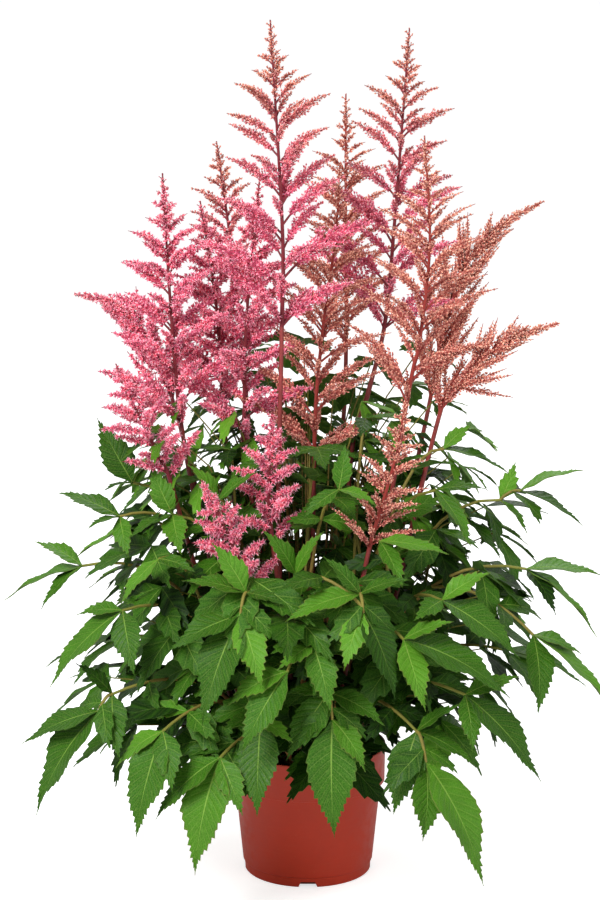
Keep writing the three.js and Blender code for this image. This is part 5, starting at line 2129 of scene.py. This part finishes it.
def new_group(name: str, inputs: dict[str, tuple[str, Value]], outputs: dict[str, str]) -> tuple[
        bpy.types.NodeTree, bpy.types.Node, bpy.types.Node]:
    """Makes an empty shader node group.

    Args:
        name: Its name.
        inputs: Kind and first value of each input.
        outputs: Kind of each output.

    Returns:
        The group, its input node and its output node.
    """
    tree = bpy.data.node_groups.new(name, "ShaderNodeTree")
    for label, (kind, value) in inputs.items():
        socket = tree.interface.new_socket(label, in_out="INPUT", socket_type=f"NodeSocket{kind}")
        socket.default_value = value
    for label, kind in outputs.items():
        tree.interface.new_socket(label, in_out="OUTPUT", socket_type=f"NodeSocket{kind}")
    return tree, tree.nodes.new("NodeGroupInput"), tree.nodes.new("NodeGroupOutput")


def mottle_group() -> bpy.types.NodeTree:
    """Shared effect: cloudy and fine changes of tone over a colour."""
    tree, given, result = new_group(
        "tone_mottle",
        {"Color": ("Color", (0.5, 0.5, 0.5, 1)), "Scale": ("Float", 40.0), "Amount": ("Float", 0.2)},
        {"Color": "Color", "Grain": "Float"},
    )
    nodes = Nodes(tree)
    cloud = nodes.noise(given.outputs["Scale"], 3.0)
    fine = nodes.noise(nodes.times(given.outputs["Scale"], 9.0), 2.0)
    both = nodes.maths("ADD", nodes.times(cloud, 0.65), nodes.times(fine, 0.35))
    shift = nodes.times(nodes.maths("SUBTRACT", both, 0.5), given.outputs["Amount"])
    lightness = nodes.maths("ADD", 1.0, nodes.times(shift, 4.0))
    toned = nodes.put("HueSaturation", {"Color": given.outputs["Color"], "Value": lightness})
    nodes.feed(result.inputs["Color"], toned.outputs[0])
    nodes.feed(result.inputs["Grain"], fine)
    return tree


@dataclass(frozen=True)
class Finish:
    """Base of the finishes: a material with one principled shader over the shared mottle."""

    name: str
    mottle: bpy.types.NodeTree

    def build(self) -> bpy.types.Material:
        """Builds the material.

        Returns:
            The material.
        """
        material = bpy.data.materials.new(self.name)
        material.use_nodes = True
        nodes = Nodes(material.node_tree)
        shader = material.node_tree.nodes["Principled BSDF"]
        for label, value in self.inputs(nodes).items():
            nodes.feed(shader.inputs[label], value)
        return material

    def inputs(self, nodes: Nodes) -> dict[str, Value]:
        """What the shader is fed with.

        Args:
            nodes: The material's nodes.

        Returns:
            A value or an output for each input that the finish sets.
        """
        raise NotImplementedError

    def mottled(self, nodes: Nodes, shade: Value, scale: float, amount: float) -> bpy.types.Node:
        """Puts the shared mottle over a colour."""
        node = nodes.put("Group", node_tree=self.mottle)
        for label, value in (("Color", shade), ("Scale", scale), ("Amount", amount)):
            nodes.feed(node.inputs[label], value)
        return node


@dataclass(frozen=True)
class LeafFinish(Finish):
    """Green blades with sunken veins and a pale underside, on brown-green stalks; painted shade darkens
    the inner leaves, painted highlights lighten the bulges between the veins.
    """

    # dark mostly serves leaves that painted shade darkens
    dark: str = "062204"
    middle: str = "2b5a0a"
    # light also paints the highlights on the bulges between the veins
    light: str = "589022"
    vein: str = "93b650"
    under: str = "587c38"
    edge: str = "7d6a3c"
    stalk_foot: str = "6b3022"
    stalk_middle: str = "8a6a3a"
    stalk_top: str = "7d8038"
    vein_width: float = 0.09
    rib_width: float = 0.06
    net_scale: float = 420.0
    net_width: float = 0.12
    edge_from: float = 0.93
    roughness: Range = (0.36, 0.55)
    specular: float = 0.16
    relief: float = 0.0005

    def inputs(self, nodes: Nodes) -> dict[str, Value]:
        """What the shader is fed with.

        Args:
            nodes: The material's nodes.

        Returns:
            A value or an output for each input that the finish sets.
        """
        place = nodes.put("Attribute", attribute_name="blade_place").outputs["Vector"]
        _, across, phase = nodes.put("SeparateXYZ", {0: place}).outputs
        aside = nodes.maths("ABSOLUTE", across)
        tone, under = nodes.value("leaf_tone"), nodes.value("blade_under")
        beat = nodes.maths("PINGPONG", phase, 0.5)
        side_vein = nodes.fade(beat, 0.0, self.vein_width, 1.0, 0.0)
        side_vein = nodes.times(side_vein, nodes.fade(aside, 0.75, 1.0, 1.0, 0.2))
        midrib = nodes.fade(aside, 0.0, self.rib_width, 1.0, 0.0)
        veins = nodes.maths("MAXIMUM", side_vein, midrib)
        cells = nodes.put("TexVoronoi", {"Vector": nodes.coordinates(), "Scale": self.net_scale},
                          feature="DISTANCE_TO_EDGE")
        net = nodes.fade(cells.outputs["Distance"], 0.0, self.net_width, 1.0, 0.0)
        # painted shade: the tone, which holds the painted shade, picks the green from dark to light
        body = nodes.ramp(tone, [(0.0, self.dark), (0.5, self.middle), (1.0, self.light)])
        body = self.mottled(nodes, body, 55.0, 0.22)
        # the vein net fades where painted shade darkens the leaf
        netting = nodes.times(net, nodes.fade(tone, 0.0, 0.4, 0.04, 0.16))
        green = nodes.blend(netting, body.outputs["Color"], colour(self.vein))
        # painted highlight: the bulges between the veins are lightened, leaving painted shade in the
        # sunken lines by the veins
        green = nodes.blend(nodes.fade(beat, 0.1, 0.5, 0.0, 0.15), green, colour(self.light))
        lines = nodes.maths("MAXIMUM", nodes.times(side_vein, 0.22), nodes.times(midrib, 0.6))
        # the veins fade where painted shade darkens the leaf
        lines = nodes.times(lines, nodes.fade(tone, 0.0, 0.4, 0.3, 1.0))
        green = nodes.blend(lines, green, colour(self.vein))
        # the brown edge fades where painted shade darkens the leaf
        rim = nodes.times(nodes.fade(aside, self.edge_from, 1.0, 0.0, 0.45), nodes.fade(tone, 0.3, 0.7))
        green = nodes.blend(rim, green, colour(self.edge))
        pale = nodes.blend(nodes.times(veins, 0.5), colour(self.under), colour(self.vein))
        green = nodes.blend(nodes.times(under, 0.75), green, pale)
        stops = [(0.0, self.stalk_foot), (0.6, self.stalk_middle), (1.0, self.stalk_top)]
        bark = nodes.ramp(nodes.value("leaf_climb"), stops)
        bark = self.mottled(nodes, bark, 120.0, 0.25).outputs["Color"]
        # painted shade darkens the stalks along with the leaf tone
        bark = nodes.put("HueSaturation", {"Color": bark, "Value": nodes.fade(tone, 0.0, 0.5, 0.4, 1.0)})
        rough = nodes.fade(body.outputs["Grain"], 0.3, 0.7, *self.roughness)
        height = nodes.maths("SUBTRACT", nodes.fade(beat, 0.0, 0.5, 0.0, 0.7), nodes.times(midrib, 0.5))
        height = nodes.maths("SUBTRACT", height, nodes.times(net, 0.25))
        return {
            "Base Color": nodes.blend(nodes.value("leaf_stalk"), green, bark.outputs[0]),
            "Roughness": nodes.maths("ADD", rough, nodes.times(under, 0.2)),
            "Normal": nodes.bump(height, 0.8, self.relief),
            "Specular IOR Level": self.specular,
        }


@dataclass(frozen=True)
class StemFinish(Finish):
    """Dark red flower stems, browner at their feet, with fine lengthwise streaks."""

    foot: str = "5a2a1a"
    middle: str = "742321"
    top: str = "88302e"
    streak: str = "4a1a18"
    streak_scales: tuple[float, float, float] = (900.0, 900.0, 45.0)
    roughness: Range = (0.38, 0.6)
    relief: float = 0.0002

    def inputs(self, nodes: Nodes) -> dict[str, Value]:
        """What the shader is fed with.

        Args:
            nodes: The material's nodes.

        Returns:
            A value or an output for each input that the finish sets.
        """
        stops = [(0.0, self.foot), (0.35, self.middle), (1.0, self.top)]
        body = self.mottled(nodes, nodes.ramp(nodes.value("stem_climb"), stops), 60.0, 0.3)
        streak = nodes.streaks(self.streak_scales, 2.0)
        darker = nodes.fade(streak, 0.5, 0.75, 0.0, 0.4)
        return {
            "Base Color": nodes.blend(darker, body.outputs["Color"], colour(self.streak)),
            "Roughness": nodes.fade(streak, 0.2, 0.8, *self.roughness),
            "Normal": nodes.bump(streak, 0.5, self.relief),
        }


@dataclass(frozen=True)
class FloretFinish(Finish):
    """Petals that are deeper at their foot and paler at their tip, partly painted shade and highlight, on
    red twigs.
    """

    young: tuple[str, str, str]
    ripe: tuple[str, str, str] = ("c62a50", "fc88a6", "ffd8e2")
    twig: str = "74202a"
    places: tuple[float, float, float] = (0.0, 0.42, 0.9)
    lightness: Range = (0.78, 1.22)
    hue: Range = (0.493, 0.507)
    roughness: Range = (0.5, 0.7)
    specular: float = 0.3
    sheen: float = 0.15

    def inputs(self, nodes: Nodes) -> dict[str, Value]:
        """What the shader is fed with.

        Args:
            nodes: The material's nodes.

        Returns:
            A value or an output for each input that the finish sets.
        """
        reach, tone = nodes.value("floret_reach"), nodes.value("floret_tone")
        # partly painted: the deep foot colour stands for shade in the gaps, the pale tip colour for
        # highlights on the petal tips
        young = nodes.ramp(reach, list(zip(self.places, self.young)))
        ripe = nodes.ramp(reach, list(zip(self.places, self.ripe)))
        petal = nodes.put("HueSaturation", {
            "Color": nodes.blend(nodes.value("floret_ripe"), young, ripe),
            "Hue": nodes.fade(tone, 0.0, 1.0, *self.hue),
            "Value": nodes.fade(tone, 0.0, 1.0, *self.lightness),
        }).outputs[0]
        petal = self.mottled(nodes, petal, 30.0, 0.15)
        part = nodes.value("floret_part")
        return {
            "Base Color": nodes.blend(part, colour(self.twig), petal.outputs["Color"]),
            "Roughness": nodes.fade(petal.outputs["Grain"], 0.2, 0.8, *self.roughness),
            "Specular IOR Level": self.specular,
            "Sheen Weight": self.sheen,
        }


@dataclass(frozen=True)
class PotFinish(Finish):
    """Satin moulded plastic with faint flow marks, scuffs and paler edges."""

    body: str = "b8341c"
    pale_tint: str = "c05a40"
    flow_scales: tuple[float, float, float] = (30.0, 30.0, 400.0)
    scuff_scale: float = 260.0
    roughness: Range = (0.36, 0.48)
    specular: float = 0.32
    relief: float = 0.0002

    def inputs(self, nodes: Nodes) -> dict[str, Value]:
        """What the shader is fed with.

        Args:
            nodes: The material's nodes.

        Returns:
            A value or an output for each input that the finish sets.
        """
        body = self.mottled(nodes, colour(self.body), 14.0, 0.1)
        shade, grain = body.outputs["Color"], body.outputs["Grain"]
        flow = nodes.fade(nodes.streaks(self.flow_scales, 3.0), 0.55, 0.8, 0.0, 0.12)
        scuff = nodes.fade(nodes.noise(self.scuff_scale, 4.0), 0.66, 0.74, 0.0, 0.25)
        # convex edges are made paler, going by their pointiness
        edge = nodes.fade(nodes.put("NewGeometry").outputs["Pointiness"], 0.52, 0.58, 0.0, 0.5)
        for pale_mark in (flow, scuff, edge):
            shade = nodes.blend(pale_mark, shade, colour(self.pale_tint))
        return {
            "Base Color": shade,
            "Roughness": nodes.maths("ADD", nodes.fade(grain, 0.3, 0.7, *self.roughness), scuff),
            "Normal": nodes.bump(grain, 0.25, self.relief),
            "Specular IOR Level": self.specular,
        }


@dataclass(frozen=True)
class SoilFinish(Finish):
    """Dark peat with tan crumbs."""

    peat: str = "241811"
    loam: str = "4a3322"
    chip: str = "a5804f"
    roughness: Range = (0.85, 1.0)
    crumb_scale: float = 600.0
    relief: float = 0.0012

    def inputs(self, nodes: Nodes) -> dict[str, Value]:
        """What the shader is fed with.

        Args:
            nodes: The material's nodes.

        Returns:
            A value or an output for each input that the finish sets.
        """
        stops = [(0.0, self.peat), (0.6, self.loam), (1.0, self.chip)]
        body = self.mottled(nodes, nodes.ramp(nodes.value("soil_tone"), stops), 160.0, 0.45)
        return {
            "Base Color": body.outputs["Color"],
            "Roughness": nodes.fade(body.outputs["Grain"], 0.3, 0.7, *self.roughness),
            "Normal": nodes.bump(nodes.noise(self.crumb_scale, 5.0), 0.9, self.relief),
        }


# ---- studio


@dataclass(frozen=True)
class Softbox:
    """A square light that looks at the plant. Its place and side are in metres, its power in watts."""

    name: str
    place: tuple[float, float, float]
    side: float
    power: float
    target: tuple[float, float, float] = (0, 0, 0.4)

    def build(self) -> None:
        """Adds the light."""
        data = bpy.data.lights.new(self.name, "AREA")
        data.size, data.energy = self.side, self.power
        light = bpy.data.objects.new(self.name, data)
        light.location = self.place
        aim = Vector(self.target) - Vector(self.place)
        light.rotation_euler = aim.to_track_quat("-Z", "Y").to_euler()
        bpy.context.scene.collection.objects.link(light)


@dataclass(frozen=True)
class Studio:
    """Camera, pale floor and soft lights."""

    distance: float = 2400
    eye_height: float = 900
    eye_aside: float = -7.7
    pitch: float = 11.24
    focal_pixels: float = 2529
    picture_height: float = 900
    sensor: float = 36
    floor_size: float = 160
    floor_shade: float = 0.75
    floor_glow: float = 0.66
    sky: float = 0.47
    softboxes: tuple[Softbox, ...] = (
        Softbox("key_softbox", (-1.3, -1.9, 2.3), 1.2, 96),
        Softbox("fill_softbox", (1.8, -1.6, 1.2), 1.8, 16),
        Softbox("back_softbox", (0.5, 2.0, 2.2), 1.5, 30),
    )

    def build(self) -> None:
        """Sets up the studio."""
        self._camera()
        self._floor()
        self._sky()
        for softbox in self.softboxes:
            softbox.build()
        bpy.context.scene.view_settings.view_transform = "Standard"

    def _camera(self) -> None:
        """Adds the camera, in front of the plant and a little above it."""
        data = bpy.data.cameras.new("camera")
        data.sensor_width = self.sensor
        data.lens = self.focal_pixels / self.picture_height * self.sensor
        data.clip_end = 500
        camera = bpy.data.objects.new("camera", data)
        camera.location = (self.eye_aside * MM, -self.distance * MM, self.eye_height * MM)
        camera.rotation_euler = (math.radians(90 - self.pitch), 0, 0)
        bpy.context.scene.collection.objects.link(camera)
        bpy.context.scene.camera = camera

    def _floor(self) -> None:
        """Adds the floor, which is seen nearly as white as the backdrop but throws little light back."""
        bpy.ops.mesh.primitive_plane_add(size=self.floor_size)
        floor = lone_active()
        floor.name = "studio_floor"
        material = bpy.data.materials.new("studio_floor")
        material.use_nodes = True
        shader = material.node_tree.nodes["Principled BSDF"]
        shader.inputs["Base Color"].default_value = (*([self.floor_shade] * 3), 1)
        shader.inputs["Roughness"].default_value = 0.9
        shader.inputs["Emission Color"].default_value = (1, 1, 1, 1)
        nodes = Nodes(material.node_tree)
        seen = nodes.put("LightPath").outputs["Is Camera Ray"]
        nodes.feed(shader.inputs["Emission Strength"], nodes.times(seen, self.floor_glow))
        floor.data.materials.append(material)

    def _sky(self) -> None:
        """Lights the scene evenly from all round, before a backdrop that is seen as pure white."""
        world = bpy.data.worlds.new("studio_sky")
        world.use_nodes = True
        nodes = Nodes(world.node_tree)
        background = world.node_tree.nodes["Background"]
        background.inputs["Color"].default_value = (1, 1, 1, 1)
        seen = nodes.put("LightPath").outputs["Is Camera Ray"]
        strength = nodes.maths("ADD", self.sky, nodes.times(seen, 1 - self.sky))
        nodes.feed(background.inputs["Strength"], strength)
        bpy.context.scene.world = world


# ---- the whole plant


def main() -> None:
    """Builds the pieces in order."""
    logging.basicConfig(level=logging.INFO, format="%(message)s")
    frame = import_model()
    bpy.ops.object.select_all(action="DESELECT")
    Studio().build()
    mottle = mottle_group()
    NurseryPot(PotFinish("moulded_pot", mottle).build()).build()
    PottingSoil(SoilFinish("peat_soil", mottle).build()).build()
    stems = FlowerStems(StemShape(), StemFinish("flower_stem", mottle).build())
    stems.build()
    shapes = {floret: floret.value.model() for floret in Floret}
    twig = twig_pattern()
    finishes = {
        Tint.PINK: FloretFinish("pink_florets", mottle, young=("b84458", "e88a94", "fcc4bc")),
        Tint.ROSE: FloretFinish("rose_florets", mottle, young=("a4503f", "d88c78", "f8c4ac")),
        Tint.SALMON: FloretFinish("salmon_florets", mottle, young=("ae5646", "e6a28c", "ffe0c6"),
                                  ripe=("ae403c", "e27a70", "fab8a0"), twig="8e3028"),
    }
    painted = {tint: finish.build() for tint, finish in finishes.items()}
    for number, plan in enumerate(FLOWERS, start=1):
        plume = Plume(plan, number, stems.shape, shapes, twig)
        plume.build(frame["nodes"][f"plume_{plan.name}"], painted[plan.tint])
    leaf = LeafFinish("leaf_green", mottle).build()
    back_blades = Leaflets(tooth_pitch=9.5, rib_radius=0)
    small_blades = Leaflets(tooth_pitch=13, fewest_teeth=4, rib_radius=0, columns=2, outward=1.0)
    Foliage(Leaflets(), back_blades, small_blades, leaf).build(frame["nodes"], stems.feet())
    InnerFoliage(small_blades, leaf).build()
    pieces = [obj for obj in bpy.context.scene.objects if obj.type == "MESH" and not obj.hide_render]
    log.info("%d faces in all", sum(len(obj.data.polygons) for obj in pieces))


if __name__ == "__main__":
    main()
